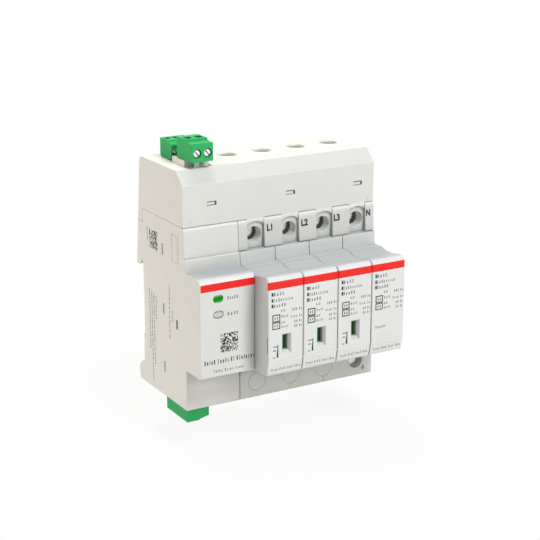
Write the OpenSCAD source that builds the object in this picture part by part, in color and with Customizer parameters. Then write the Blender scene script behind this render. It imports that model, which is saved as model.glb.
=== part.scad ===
// Multipole surge protective device for a 35 mm rail: a terminal base with
// four plug-in cartridges beside a monitoring module, under one hood.
// The origin is the middle of the rail seat. +X runs along the rail to the
// right, +Y points back to the rail and +Z points up.

/* [Row of poles] */
// Width of one pole
pole_w = 17.8; // [17.6:0.1:19]
// Width of the monitoring module
monitor_w = 26.7; // [26.5:0.1:32]
// Gap between neighbouring housings and between cartridges
side_gap = 0.3; // [0.2:0.05:0.4]

/* [Heights from the rail centre] */
// Bottom of the housings below the rail centre
base_drop = 41.35; // [41:0.05:45]
// Top of the hood above the rail centre
hood_rise = 66.15; // [64:0.05:74]
// Seam between the housings and the hood above the rail centre
seam_rise = 42.15; // [42:0.05:44]
// Height of the terminal band under the seam
band_h = 13.7; // [13.5:0.05:14.5]
// Height of the noses, centred on the rail
nose_h = 44.8; // [44:0.1:45]
// Height of the plain front under the cartridges
lower_front_h = 12.85; // [12.8:0.05:13.5]

/* [Depths from the rail seat] */
// Lower front face in front of the rail seat
face_depth = 42; // [41:0.1:50]
// Hood face behind the lower front face
hood_set = 1.3; // [1:0.05:1.6]
// Shoulder of the cartridges in front of the lower front face
shoulder_out = 0.9; // [0.6:0.05:1.2]
// Nose of the monitoring module in front of the lower front face
monitor_nose_out = 13.7; // [12.5:0.1:16]
// Nose of the cartridges in front of the lower front face
cartridge_nose_out = 25.5; // [24:0.1:28]
// Foot and hook behind the rail seat
rear_depth = 6.7; // [6.5:0.05:7.2]
// Slope of the back above the hook, in millimetres per millimetre
rear_slope = 0.108; // [0.08:0.002:0.12]

/* [Hood] */
// Height of the hood's front chamfer
chamfer_h = 5.8; // [4:0.1:7]
// Depth of the hood's front chamfer
chamfer_d = 6.3; // [4:0.1:7]
// Wall of the hood
hood_wall = 1.9; // [1.6:0.1:2.2]
// Width of a latch window
window_w = 4.8; // [4.5:0.1:6]
// Height of a latch window
window_h = 1.9; // [1.8:0.1:3]
// Middle of the latch windows above the seam
window_up = 9.3; // [8.5:0.1:11]

/* [Housings] */
// Wall of the housings
wall = 1.8; // [1.6:0.1:2]
// Size of the chamfer along the front edges of a cartridge
edge_cut = 0.35; // [0.2:0.05:0.5]
// Width of the recess between two separators on the terminal band
recess_w = 8.8; // [8.4:0.1:9]
// Rounding of the separators' top front edge
separator_r = 1.2; // [0.6:0.1:1.3]

/* [Rail] */
// Height of the rail
rail_h = 35; // [35:0.1:35.3]
// Thickness of the rail's flange
rail_t = 1; // [0.9:0.05:1.1]
// Play of the rail in its seat
rail_play = 0.25; // [0.2:0.05:0.35]

/* [Terminals] */
// Bore of the wire entries
wire_d = 10; // [8:0.1:10.2]
// Wire axis in front of the rail seat
wire_depth = 15.6; // [15.4:0.1:15.8]
// Screw axis above the bottom of the terminal band
screw_up = 6.05; // [6:0.05:6.6]
// Earth screw axis above the bottom of the base
earth_up = 7.3; // [7.2:0.05:7.4]
// Thread diameter of a terminal screw
screw_d = 5; // [4:0.1:5.2]
// Head diameter of a terminal screw
head_d = 6.6; // [6.2:0.1:6.8]
// Head height of a terminal screw
head_h = 2.8; // [2.4:0.1:3]
// Bore of the screwdriver access
access_d = 7.3; // [7.2:0.1:7.6]
// Travel of a clamp cage
clamp_travel = 6; // [5:0.1:6.2]
// Thickness of the copper strips
strip_t = 1.6; // [1.4:0.1:1.7]
// Height of a clamp cage
cage_h = 8.6; // [8.2:0.1:8.8]

/* [Cartridges] */
// Wall of a cartridge shell
shell_wall = 1.4; // [1.2:0.1:1.5]
// Clearance of a cartridge in its pocket
pocket_play = 0.3; // [0.2:0.05:0.4]
// Thickness of a contact blade
blade_t = 1.2; // [1:0.1:1.4]
// Height of a contact blade
blade_h = 6; // [5:0.1:6.4]
// Height of the line blade above the rail centre
blade_rise = 18.7; // [18:0.1:19]
// Height of the earth blade below the rail centre
blade_drop = 18.9; // [18.5:0.1:19.2]
// Thickness of the varistor block
block_t = 7; // [6:0.1:7.2]
// Ribs in the upper part of the finger scoop
scoop_ribs = 9; // [7:1:11]
// Depth of the finger scoop
scoop_d = 1.05; // [0.6:0.05:1.4]
// Travel of a status flag
flag_travel = 8.5; // [8:0.1:9]

/* [Plugs] */
// Pitch of the supply and sensor plugs
wide_pitch = 5.08; // [4.9:0.01:5.1]
// Pitch of the relay plug
narrow_pitch = 3.81; // [3.7:0.01:3.9]
// Clearance of a plug in its header
plug_play = 0.3; // [0.2:0.05:0.35]

/* [Rail clips] */
// Width of a rail clip
clip_w = 14; // [12:0.1:15]
// Thickness of a rail clip
clip_t = 3.5; // [3:0.1:3.6]
// Overlap of the clip behind the rail
clip_hold = 2.5; // [2:0.1:2.8]
// Clip tab below the housing
clip_tab = 4.5; // [4:0.1:6]

/* [Hidden] */
$fn = 48;

housing_grey = [0.85, 0.85, 0.81];
cartridge_white = [0.91, 0.91, 0.89];
header_grey = [0.74, 0.74, 0.71];
plug_green = [0.27, 0.72, 0.44];
flag_green = [0.05, 0.36, 0.1];
steel = [0.78, 0.79, 0.8];
copper = [0.8, 0.52, 0.36];
board_green = [0.13, 0.38, 0.24];

// Overshoot of a cut past a face
over = 1;
// Gap along the seams of the housings
seam_gap = 0.15;
// Fine grooves in the housings
groove_w = 0.22;
groove_d = 0.18;
knock_out_d = 9;
// Radial clearance of a thread in its cage
thread_play = 0.05;

poles = 4;
total_w = monitor_w + poles * pole_w;
left_x = -total_w / 2;
right_x = total_w / 2;
joint_x = left_x + monitor_w;
function pole_x(k) = joint_x + (k + 0.5) * pole_w;

bottom_z = -base_drop;
top_z = hood_rise;
seam_z = seam_rise;
band_z = seam_rise - band_h;
nose_z = nose_h / 2;
lower_z = bottom_z + lower_front_h;
line_z = band_z + screw_up;
earth_z = bottom_z + earth_up;

face_y = -face_depth;
hood_y = face_y + hood_set;
shoulder_y = face_y - shoulder_out;
// Front of the terminal band at its top and bottom, and the module's wall there
band_top_y = hood_y - 0.35;
band_low_y = hood_y - 1;
band_in_y = hood_y + 1.5;
monitor_nose_y = face_y - monitor_nose_out;
cartridge_nose_y = face_y - cartridge_nose_out;
// Tongues of the hood between the separators, and the wall behind them
tongue_t = 2.1;
separator_w = pole_w - recess_w;
tongue_w = recess_w - 0.2;
band_wall_y = hood_y + tongue_t + 0.1;
band_wall_t = 1.8;
mouth_y = face_y + 1.5;

// Rear outline: foot, rail seat and hook
seat_z = rail_h / 2 + rail_play;
lip_y = rail_t + 0.1;
foot_h = 10.8;
foot_flat = 6.5;
hook_h = 2.7;
hook_gap = rail_t - 0.2;
hook_run = 3;
hook_r = 0.55;
function rear_y(z) = rear_depth - rear_slope * (z - seat_z + hook_h - hook_r);
rear_path = [
  [rear_depth - 0.3, bottom_z], [rear_depth, bottom_z + foot_flat],
  [rear_depth - 1.2, bottom_z + foot_flat + 1.2], [lip_y, bottom_z + foot_h],
  [lip_y, -seat_z], [0, -seat_z], [0, seat_z], [hook_gap, seat_z],
  [hook_gap + hook_run, seat_z - hook_h], [rear_depth - hook_r, seat_z - hook_h],
  [rear_depth, seat_z - hook_h + hook_r]
];
// Step in the seam near the back, where the hood's leg comes down
leg_y = -0.7;
leg_z = seam_z - 6.1;
seat_wall = 1.8;

// Cartridge pockets and the contact chamber behind them
pocket_half = pole_w / 2 - 1.5;
pocket_bottom = lower_z + 1.5;
pocket_top = band_z - 1.55;
pocket_back_y = -11;
pocket_back_t = 1.5;
contact_y = pocket_back_y + pocket_back_t;
chamber_half = pole_w / 2 - 1.65;
core_z = seat_z + wall;

// Terminals
head_y = face_y + 9.5;
earth_head_y = face_y + 4;
shank_y = head_y + head_h;
barrel_end_y = shank_y - 0.3;
cage_wall = 2.8;
cage_front_y = shank_y + 0.5 + clamp_travel;
cage_back_y = -9;
cage_back_t = 1.6;
tongue_y = cage_front_y + cage_wall + 0.2;
cage_half = chamber_half - 0.25;
cage_side = 1.4;
strip_half = 4;
bar_y = -4.6;
counterbore_r = 6.2;
counterbore_d = 1;

earth_strip_z = earth_z + cage_h / 2 + 0.15;

// Cartridge rear body
shell_half = pocket_half - pocket_play;
shell_back_y = pocket_back_y - 2.2;
back_plate_t = 1.9;
flange_back_y = mouth_y - 0.2;
flange_top = band_z - 0.2;
flange_bottom = lower_z + 0.4;
blade_in_y = -17;
blade_tip_y = bar_y - 0.6;

// Window and flag of a cartridge, from the middle of its pole
window_x = 0.4;
slot_half = 1.3;
slot_bottom = -nose_z + 11.15;
slot_top = slot_bottom + 6.9;
funnel_d = 1.6;
funnel_side = 1;
funnel_low = 1.6;
funnel_high = 0.9;
flag_y = cartridge_nose_y + 3.5;
flag_t = 1;
flag_half = 1.8;
flag_top = slot_top + 1.5;
flag_h = flag_top + nose_z - shell_wall - 0.95;
// Crease above the leaning foot panel of the nose
crease_z = -nose_z + 6.8;

// Lamps and circuit board of the monitoring module
lamp_x = left_x + 8.9;
power_lamp_z = nose_z - 9.15;
signal_lamp_z = nose_z - 16.25;
lamp_w = 5;
lamp_h = 3.4;
lamp_back_y = monitor_nose_y + 4;
board_x = left_x + 12;
board_t = 1.6;
board_top = top_z - 11.5;
board_front_y = monitor_nose_y + 4.2;

// Plugs and headers, from the module's left side and the rail seat
supply_x = left_x + 6.9;
supply_w = 2 * wide_pitch;
supply_y = [face_y + 4.9, face_y + 19.3];
supply_z = top_z + 3.05;
relay_x = left_x + 7.1;
relay_w = 3 * narrow_pitch + 0.2;
relay_y = [face_y + 25.1, face_y + 36.3];
relay_z = top_z + 0.4;
sensor_x = [left_x + 0.15, left_x + 11];
sensor_y = face_y + 0.3;
sensor_l = 4 * wide_pitch;
sensor_top = bottom_z - 0.2;
sensor_h = 5.45;

clip_y = lip_y + 0.2;
clip_top = -rail_h / 2 + clip_hold;
clip_left_x = left_x + monitor_w / 2;
clip_right_x = pole_x(2);

// Copy of a range, made wider at both ends
function wider(range, play) = [range[0] - play, range[1] + play];

// Plain box from three ranges
module box(x, y, z) {
  translate([x[0], y[0], z[0]]) cube([x[1] - x[0], y[1] - y[0], z[1] - z[0]]);
}

// Profile in the (y, z) plane carried from x0 to x1
module along_x(x0, x1) {
  translate([x0, 0, 0]) rotate([90, 0, 90]) linear_extrude(x1 - x0) children();
}

// Profile in the (x, z) plane carried from y0 to y1
module along_y(y0, y1) {
  translate([0, y1, 0]) rotate([90, 0, 0]) linear_extrude(y1 - y0) children();
}

// Profile in the (x, y) plane carried from z0 to z1
module along_z(z0, z1) {
  translate([0, 0, z0]) linear_extrude(z1 - z0) children();
}

module rod_x(d, x0, x1, y, z) {
  translate([x0, y, z]) rotate([0, 90, 0]) cylinder(d = d, h = x1 - x0);
}

module rod_y(d, x, z, y0, y1) {
  translate([x, y1, z]) rotate([90, 0, 0]) cylinder(d = d, h = y1 - y0);
}

module rod_z(d, x, y, z0, z1) {
  translate([x, y, z0]) cylinder(d = d, h = z1 - z0);
}

// Flat bar with round ends along x, standing from y0 to y1
module lozenge_y(w, h, x, z, y0, y1) {
  for (side = [-1, 1]) rod_y(h, x + side * (w - h) / 2, z, y0, y1);
  box([x - (w - h) / 2, x + (w - h) / 2], [y0, y1], [z - h / 2, z + h / 2]);
}

// Chamfer cutters of size c along a path of (y, z) points on the plane x
module edge_cutters(path, x, c) {
  side = c * sqrt(2);
  for (i = [0 : len(path) - 2]) {
    run = path[i + 1] - path[i];
    translate([x, path[i][0], path[i][1]])
      rotate([atan2(run[1], run[0]), 0, 0])
        rotate([0, 45, 0])
          translate([-side / 2, 0, -side / 2])
            cube([side, norm(run), side]);
  }
}

// Quarter round of radius r from the top of a front edge at (y, z)
function round_front(y, z, r) =
  [for (a = [90 : 22.5 : 180]) [y + r + r * cos(a), z - r + r * sin(a)]];

// Outlines

base_path = concat(
  [[face_y, bottom_z]], rear_path,
  [[rear_y(leg_z - seam_gap), leg_z - seam_gap], [leg_y, leg_z - seam_gap],
   [leg_y, seam_z - seam_gap], [band_wall_y, seam_z - seam_gap],
   [band_wall_y, band_z], [mouth_y, band_z], [mouth_y, lower_z], [face_y, lower_z]]);

separator_path = concat(
  [[band_low_y, band_z + 0.1], [band_wall_y + 0.5, band_z + 0.1],
   [band_wall_y + 0.5, seam_z - seam_gap]],
  round_front(band_top_y, seam_z - seam_gap, separator_r));

// The module's front from the top of its band down to its bottom edge
monitor_front = concat(
  round_front(band_top_y, seam_z - seam_gap, separator_r),
  [[band_low_y, band_z + 0.1], [band_low_y + 0.4, band_z + 0.1],
   [band_low_y + 0.4, band_z - 0.1], [shoulder_y + 0.2, band_z - 0.1],
   [shoulder_y - 0.4, nose_z],
   [monitor_nose_y + 3.1, nose_z - 0.05], [monitor_nose_y + 0.8, nose_z - 0.4],
   [monitor_nose_y + 0.2, nose_z - 1], [monitor_nose_y, nose_z - 1.9],
   [monitor_nose_y, -nose_z + 0.8], [monitor_nose_y + 0.4, -nose_z + 0.2],
   [monitor_nose_y + 1, -nose_z], [face_y, -nose_z]]);

monitor_path = concat(
  [[face_y, bottom_z]], rear_path,
  [[rear_y(leg_z - seam_gap), leg_z - seam_gap], [leg_y, leg_z - seam_gap],
   [leg_y, seam_z - seam_gap]],
  monitor_front);

module_cavity = [
  [face_y + wall, bottom_z + wall], [-seat_wall, bottom_z + wall],
  [-seat_wall, core_z], [rear_y(core_z) - 2.2, core_z],
  [rear_y(seam_z) - 2.2, seam_z + over], [band_in_y, seam_z + over],
  [band_in_y, nose_z - wall], [monitor_nose_y + wall, nose_z - wall - 0.6],
  [monitor_nose_y + wall, -nose_z + wall], [face_y + wall, -nose_z + wall]
];

hood_path = [
  [hood_y, seam_z], [leg_y + seam_gap, seam_z], [leg_y + seam_gap, leg_z],
  [rear_y(leg_z), leg_z], [rear_y(top_z - 1.5), top_z - 1.5],
  [rear_y(top_z) - 1.2, top_z], [hood_y + chamfer_d, top_z], [hood_y, top_z - chamfer_h]
];

hood_cavity = [
  [hood_y + hood_wall, leg_z - over], [rear_y(leg_z - over) - hood_wall, leg_z - over],
  [rear_y(top_z - hood_wall) - hood_wall, top_z - hood_wall],
  [hood_y + chamfer_d + 0.8, top_z - hood_wall],
  [hood_y + hood_wall, top_z - chamfer_h - 0.8]
];

// Housings

module clip_channel(x) {
  half = clip_w / 2 + 0.2;
  box([x - half, x + half], [lip_y, clip_y + clip_t + 0.2],
      [bottom_z - over, bottom_z + foot_h + over]);
}

module clip_guides(x) {
  for (side = [-1, 1])
    translate([x + side * (clip_w / 2 + 1), 0, 0])
      box([-0.8, 0.8], [lip_y - 0.1, clip_y + clip_t], [bottom_z + foot_h - 3, -seat_z - 0.4]);
}

// Short upright marks where the side walls are pinned
module side_slots(x) {
  for (z = [bottom_z + 11.4, bottom_z + 39, seam_z - 16.8])
    box([x - 0.4, x + 0.4], [face_y + 21.7, face_y + 22.1], [z, z + 5.3]);
}

// Empty frame sunk in the module's left side
module side_frame() {
  y = [face_y + 6, face_y + 12.2];
  z = [seam_z - 17.4, seam_z - 4.8];
  difference() {
    box([left_x - over, left_x + groove_d], y, z);
    box([left_x - 2 * over, left_x + over], wider(y, -0.3), wider(z, -0.3));
  }
}

// Tongue that snaps into a window of the hood, from a wall at root_y
module snap_tongue(x, root_y) {
  hook_z = seam_z + window_up;
  tab_x = [x - window_w / 2 + 0.2, x + window_w / 2 - 0.7];
  tab_z = [hook_z - window_h / 2 + 0.15, hook_z + window_h / 2 - 0.4];
  box([x - 3, x + 3], [root_y, band_wall_y + 1.6], [seam_z - 4, seam_z - 2 * seam_gap]);
  box([x - 3, x + 3], [band_wall_y, band_wall_y + 1.6], [seam_z - 4, seam_z + 4]);
  box(tab_x, [band_wall_y, band_wall_y + 1.6], [seam_z + 3.9, tab_z[1] + 0.1]);
  box(tab_x, [hood_y + 0.35, band_wall_y + 0.5], tab_z);
}

module pole_separator(b) {
  x = joint_x + b * pole_w;
  x0 = b == 0 ? joint_x + side_gap / 2 : x - separator_w / 2;
  x1 = b == poles ? right_x : x + separator_w / 2;
  along_x(x0, x1) polygon(separator_path);
}

// Access bore from y0, a ledge in front of the screw's head at y, and its seat
module screw_way(x, z, y0, y) {
  rod_y(access_d, x, z, y0 - over, y - 0.8);
  rod_y(head_d - 0.4, x, z, y0, y);
  rod_y(access_d, x, z, y - 0.3, y + head_h + 0.1);
  rod_y(screw_d + 0.8, x, z, y, barrel_end_y + over);
}

module knock_out(x) {
  difference() {
    rod_y(knock_out_d, x, earth_z, face_y - over, face_y + groove_d);
    rod_y(knock_out_d - 2 * groove_w, x, earth_z, face_y - over, face_y + groove_d + over);
  }
  box([x - groove_w / 2, x + groove_w / 2], [face_y - over, face_y + groove_d],
      [bottom_z + 0.5, earth_z - knock_out_d / 2 + 0.1]);
}

module pole_chambers(k) {
  x = pole_x(k);
  // Pocket that the cartridge slides into, and the slots for its blades
  box([x - pocket_half, x + pocket_half], [mouth_y - over, pocket_back_y], [pocket_bottom, pocket_top]);
  for (z = [blade_rise, -blade_drop])
    box([x - blade_t / 2 - 0.5, x + blade_t / 2 + 0.5], [pocket_back_y - over, contact_y + over],
        [z - blade_h / 2 - 0.4, z + blade_h / 2 + 0.4]);
  // Contact chamber with its core above the rail hook
  along_x(x - 6.5, x + 6.5)
    polygon([[contact_y, pocket_bottom + 1.5], [-seat_wall, pocket_bottom + 1.5], [-seat_wall, core_z],
             [rear_y(core_z) - 2.2, core_z], [rear_y(seam_z) - 2.2, seam_z + over],
             [contact_y, seam_z + over]]);
  // Terminal chamber, open to the hood
  box([x - chamber_half, x + chamber_half], [band_wall_y + band_wall_t, cage_back_y + 0.3],
      [band_z, seam_z + over]);
}

module earth_chamber() {
  x = pole_x(poles - 1);
  box([x - chamber_half, x + chamber_half], [barrel_end_y, -2],
      [earth_z - cage_h / 2 - 0.25, earth_strip_z + strip_t + 0.15]);
  rod_z(wire_d, x, -wire_depth, bottom_z - over, earth_z);
  screw_way(x, earth_z, face_y, earth_head_y);
  // Way for the earth bar down from the contact chamber
  box([x - strip_half - 0.3, x + strip_half + 0.3], [bar_y - 0.3, bar_y + strip_t + 0.3],
      [earth_strip_z, pocket_bottom + 2]);
}

module base_housing() {
  color(housing_grey)
  difference() {
    union() {
      difference() {
        along_x(joint_x + side_gap / 2, right_x) polygon(base_path);
        for (k = [0 : poles - 1]) pole_chambers(k);
        // Way for the earth bar through the partitions
        box([pole_x(0) - 5, pole_x(poles - 1) + 5], [bar_y - 0.5, bar_y + strip_t + 0.5],
            [-blade_drop - 4.5, -blade_drop + 4.5]);
        earth_chamber();
        clip_channel(clip_right_x);
      }
      for (b = [0 : poles]) pole_separator(b);
      for (k = [0 : poles - 1]) rod_y(10, pole_x(k), line_z, band_wall_y + 0.5, barrel_end_y);
      snap_tongue(pole_x(1) + 0.2, band_wall_y);
      snap_tongue(pole_x(3) + 0.2, band_wall_y);
      clip_guides(clip_right_x);
    }
    for (k = [0 : poles - 1]) screw_way(pole_x(k), line_z, band_wall_y, head_y);
    for (k = [0 : poles - 2]) knock_out(pole_x(k));
    side_slots(right_x);
  }
}

module monitor_housing() {
  x0 = left_x;
  x1 = joint_x - side_gap / 2;
  color(housing_grey)
  difference() {
    union() {
      difference() {
        along_x(x0, x1) polygon(monitor_path);
        along_x(x0 + wall, x1 + over) polygon(module_cavity);
        clip_channel(clip_left_x);
      }
      snap_tongue(x0 + 14.15, band_in_y - 0.2);
      clip_guides(clip_left_x);
    }
    for (z = [power_lamp_z, signal_lamp_z])
      lozenge_y(lamp_w, lamp_h, lamp_x, z, monitor_nose_y - over, monitor_nose_y + wall + over);
    // Opening for the sensor header
    box([x0 + wall, x0 + 10.3], [face_y + wall, sensor_y + sensor_l - 0.8],
        [bottom_z - over, bottom_z + wall + over]);
    side_slots(x0);
    side_frame();
  }
}

// Plate that closes the module on its joint side
module monitor_cover() {
  x1 = joint_x - side_gap / 2;
  lid = [
    [face_y + wall + 0.1, bottom_z + wall + 0.1], [-seat_wall - 0.1, bottom_z + wall + 0.1],
    [-seat_wall - 0.1, core_z + 0.1], [rear_y(core_z) - 2.3, core_z + 0.1],
    [rear_y(leg_z) - 2.3, leg_z - 1], [leg_y - 1, leg_z - 1], [leg_y - 1, seam_z - 1],
    [band_in_y + 0.1, seam_z - 1], [band_in_y + 0.1, nose_z - wall - 0.1],
    [monitor_nose_y + wall + 0.1, nose_z - wall - 0.8],
    [monitor_nose_y + wall + 0.1, -nose_z + wall + 0.1],
    [face_y + wall + 0.1, -nose_z + wall + 0.1]
  ];
  color(housing_grey) along_x(x1 - 1.4, x1) polygon(lid);
}

module header_openings() {
  box([supply_x - 0.4, supply_x + supply_w + 1.8], [supply_y[0] + 3.9, supply_y[1] + 4.7],
      [top_z - hood_wall - over, top_z + over]);
  box([relay_x - 0.4, relay_x + relay_w + 0.4], [relay_y[0] + 0.4, relay_y[1] - 0.2],
      [top_z - hood_wall - over, top_z + over]);
}

module top_hood() {
  color(housing_grey)
  difference() {
    union() {
      difference() {
        along_x(left_x, right_x) polygon(hood_path);
        along_x(left_x + wall, right_x - wall) polygon(hood_cavity);
      }
      // Walls between the poles, and guides down to the clamps
      for (b = [0 : poles - 1])
        box([joint_x + b * pole_w - 0.7, joint_x + b * pole_w + 0.7],
            [hood_y + chamfer_d + 0.5, -3], [seam_z + 0.4, top_z - 1]);
      for (k = [0 : poles - 1]) {
        rod_z(wire_d + 2.8, pole_x(k), -wire_depth, seam_z + 0.4, top_z - 1);
        box([pole_x(k) - tongue_w / 2, pole_x(k) + tongue_w / 2], [hood_y, hood_y + tongue_t],
            [band_z + 0.1, seam_z + 2]);
      }
    }
    for (k = [0 : poles - 1]) {
      x = pole_x(k);
      rod_z(wire_d, x, -wire_depth, seam_z - over, top_z + over);
      rod_y(access_d, x, line_z, hood_y - over, hood_y + tongue_t + over);
      rod_y(2 * counterbore_r, x, line_z, hood_y - over, hood_y + counterbore_d);
      box([x - counterbore_r, x + counterbore_r], [hood_y - over, hood_y + counterbore_d],
          [band_z - over, line_z]);
    }
    for (x = [left_x + 14.15, pole_x(1) + 0.2, pole_x(3) + 0.2])
      box([x - window_w / 2, x + window_w / 2], [hood_y - over, hood_y + hood_wall + over],
          [seam_z + window_up - window_h / 2, seam_z + window_up + window_h / 2]);
    // Fine upright marks near the lower corners of the front
    for (x = [left_x + 3.9, right_x - 3.6])
      box([x - groove_w / 2, x + groove_w / 2], [hood_y - over, hood_y + groove_d],
          [seam_z + 0.7, seam_z + 2.5]);
    header_openings();
  }
}

// Conductors of the base

// Fork of two leaves that pinches a blade at height z
module contact_fork(x, z) {
  gap = blade_t / 2 + 0.05;
  for (side = [-1, 1])
    translate([x + side * (gap + 0.5), 0, 0])
      box([-0.5, 0.5], [contact_y + 0.3, bar_y + 0.1], [z - blade_h / 2, z + blade_h / 2]);
}

module line_bars() {
  color(copper)
  for (k = [0 : poles - 1]) {
    x = pole_x(k);
    contact_fork(x, blade_rise);
    box([x - strip_half, x + strip_half], [bar_y, bar_y + strip_t],
        [blade_rise - blade_h / 2 - 1, band_z + strip_t]);
    box([x - strip_half, x + strip_half], [tongue_y, bar_y + strip_t], [band_z, band_z + strip_t]);
    box([x - strip_half, x + strip_half], [tongue_y, tongue_y + strip_t], [band_z, line_z + cage_h / 2]);
  }
}

module earth_bar() {
  x = pole_x(poles - 1);
  strip_z = earth_strip_z;
  color(copper) {
    for (k = [0 : poles - 1]) contact_fork(pole_x(k), -blade_drop);
    box([pole_x(0) - strip_half, x + strip_half], [bar_y, bar_y + strip_t],
        [-blade_drop - blade_h / 2 - 1, -blade_drop + blade_h / 2 + 1]);
    box([x - strip_half, x + strip_half], [bar_y, bar_y + strip_t], [strip_z, -blade_drop]);
    box([x - strip_half, x + strip_half], [tongue_y, bar_y + strip_t], [strip_z, strip_z + strip_t]);
    box([x - strip_half, x + strip_half], [tongue_y, tongue_y + strip_t],
        [earth_z - cage_h / 2, strip_z + strip_t]);
  }
}

// Terminal screws and clamp cages

// Screw head along +Y with a chamfered rim
module screw_head(d, h) {
  rim = d / 12;
  rotate([-90, 0, 0]) {
    cylinder(d1 = d - 2 * rim, d2 = d, h = rim);
    translate([0, 0, rim]) cylinder(d = d, h = h - rim);
  }
}

// Cross-slotted screw with the front of its head at y
module terminal_screw(x, z, y) {
  color(steel)
  difference() {
    union() {
      translate([x, y, z]) screw_head(head_d, head_h);
      rod_y(screw_d, x, z, y + head_h - 0.1, tongue_y - 0.3);
    }
    for (turn = [40, 130])
      translate([x, y, z]) rotate([0, turn, 0]) box([-2.6, 2.6], [-over, 1.2], [-0.45, 0.45]);
  }
}

module clamp_cage(x, z) {
  color(steel)
  difference() {
    box([x - cage_half, x + cage_half], [cage_front_y, cage_back_y], [z - cage_h / 2, z + cage_h / 2]);
    box([x - cage_half + cage_side, x + cage_half - cage_side],
        [cage_front_y + cage_wall, cage_back_y - cage_back_t], [z - cage_h, z + cage_h]);
    rod_y(screw_d + 2 * thread_play, x, z, cage_front_y - over, cage_front_y + cage_wall + over);
  }
}

// Cartridges

// Dip of the finger scoop, from its rear edge (0) to the lip (1)
function scoop(t) = scoop_d * sin(180 * pow(t, 0.8));
scoop_start_y = face_y - 7.5;
lip_back_y = cartridge_nose_y + 3.8;
scoop_steps = scoop_ribs + 5;
rib_h = 0.32;
scoop_path = [
  for (i = [0 : scoop_steps - 1], step = [0, 1])
    let (t = (i + step * 0.5) / scoop_steps, groove = i < scoop_ribs && step == 1 ? rib_h : 0)
      [scoop_start_y - t * (scoop_start_y - lip_back_y), nose_z - scoop(t) - groove]
];
cartridge_front = [
  [lip_back_y, nose_z - 0.3], [lip_back_y - 0.3, nose_z], [cartridge_nose_y + 2, nose_z + 0.05],
  [cartridge_nose_y + 1, nose_z - 0.35], [cartridge_nose_y + 0.35, nose_z - 1.1],
  [cartridge_nose_y, nose_z - 2.4], [cartridge_nose_y, crease_z],
  [cartridge_nose_y + 1, -nose_z + 1.5], [cartridge_nose_y + 1.4, -nose_z + 0.5],
  [cartridge_nose_y + 2.3, -nose_z]
];
shell_path = concat(
  [[flange_back_y, flange_bottom], [flange_back_y, flange_top], [shoulder_y, flange_top],
   [shoulder_y, nose_z + 2.6], [shoulder_y - 0.25, nose_z]],
  scoop_path, cartridge_front,
  [[shoulder_y, -nose_z], [shoulder_y, flange_bottom]]);
nose_cavity_z = [-nose_z + shell_wall, nose_z - scoop_d - shell_wall];
throat_y = [shoulder_y + 0.4, flange_back_y + shell_wall];
shell_nose_cavity = [
  [throat_y[0], nose_cavity_z[0]], [throat_y[0], nose_cavity_z[1]],
  [cartridge_nose_y + shell_wall + 1.5, nose_cavity_z[1]],
  [cartridge_nose_y + shell_wall, nose_z - 3], [cartridge_nose_y + shell_wall, crease_z],
  [cartridge_nose_y + shell_wall + 1, nose_cavity_z[0]]
];

// Nose and rear body of a cartridge, hollow and joined by a throat
module shell_bodies(x) {
  nose_half = (pole_w - side_gap) / 2;
  inner_half = shell_half - shell_wall;
  body_z = [pocket_bottom + pocket_play, pocket_top - pocket_play];
  difference() {
    union() {
      difference() {
        along_x(x - nose_half, x + nose_half) polygon(shell_path);
        for (side = [-1, 1]) edge_cutters(cartridge_front, x + side * nose_half, edge_cut);
      }
      box([x - shell_half, x + shell_half], [flange_back_y - 0.5, shell_back_y], body_z);
    }
    along_x(x - nose_half + shell_wall, x + nose_half - shell_wall) polygon(shell_nose_cavity);
    box([x - inner_half, x + inner_half], [throat_y[0] - 0.1, throat_y[1] + 0.1], nose_cavity_z);
    box([x - inner_half, x + inner_half], [throat_y[1], shell_back_y + over],
        wider(body_z, -shell_wall));
  }
}

// Funnel that narrows from the front face to the flag's slot
module window_funnel(x) {
  y0 = cartridge_nose_y;
  y1 = y0 + funnel_d;
  xm = x + window_x;
  wide = slot_half + 2 * funnel_side;
  intersection() {
    along_z(slot_bottom - funnel_low, slot_top + funnel_high)
      polygon([[xm - wide, y0 - funnel_d], [xm + wide, y0 - funnel_d],
               [xm + slot_half, y1], [xm - slot_half, y1]]);
    along_x(xm - wide, xm + wide)
      polygon([[y0 - funnel_d, slot_bottom - 2 * funnel_low], [y1, slot_bottom],
               [y1, slot_top], [y0 - funnel_d, slot_top + 2 * funnel_high]]);
  }
  box([xm - slot_half, xm + slot_half], [y1 - 0.1, flag_y], [slot_bottom, slot_top]);
}

module flag_guides(x) {
  xm = x + window_x;
  guide_z = [flag_top - flag_h, flag_top + flag_travel + 0.5];
  inner_y = cartridge_nose_y + shell_wall - 0.1;
  box([xm - flag_half - 1.4, xm + flag_half + 1.4], [inner_y, flag_y - 0.2],
      [slot_bottom - 2, slot_top + 1.5]);
  for (side = [-1, 1]) {
    translate([xm + side * (flag_half + 0.8), 0, 0])
      box([-0.6, 0.6], [inner_y, flag_y + flag_t + 0.8], guide_z);
    translate([xm + side * (flag_half + 0.2), 0, 0])
      box([-0.6, 0.6], [flag_y + flag_t + 0.2, flag_y + flag_t + 0.8], guide_z);
  }
}

module cartridge_shell(k, windowed) {
  x = pole_x(k);
  color(cartridge_white)
  difference() {
    union() {
      shell_bodies(x);
      if (windowed) flag_guides(x);
    }
    if (windowed) window_funnel(x);
    // Slot of the latch that holds the cartridge in the base
    for (side = [-1, 1])
      translate([x + side * (pole_w - side_gap) / 2, 0, 0])
        box([-0.4, 0.4], [cartridge_nose_y + 0.6, cartridge_nose_y + 1.4],
            wider([slot_bottom, slot_top], 0.2));
  }
}

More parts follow.
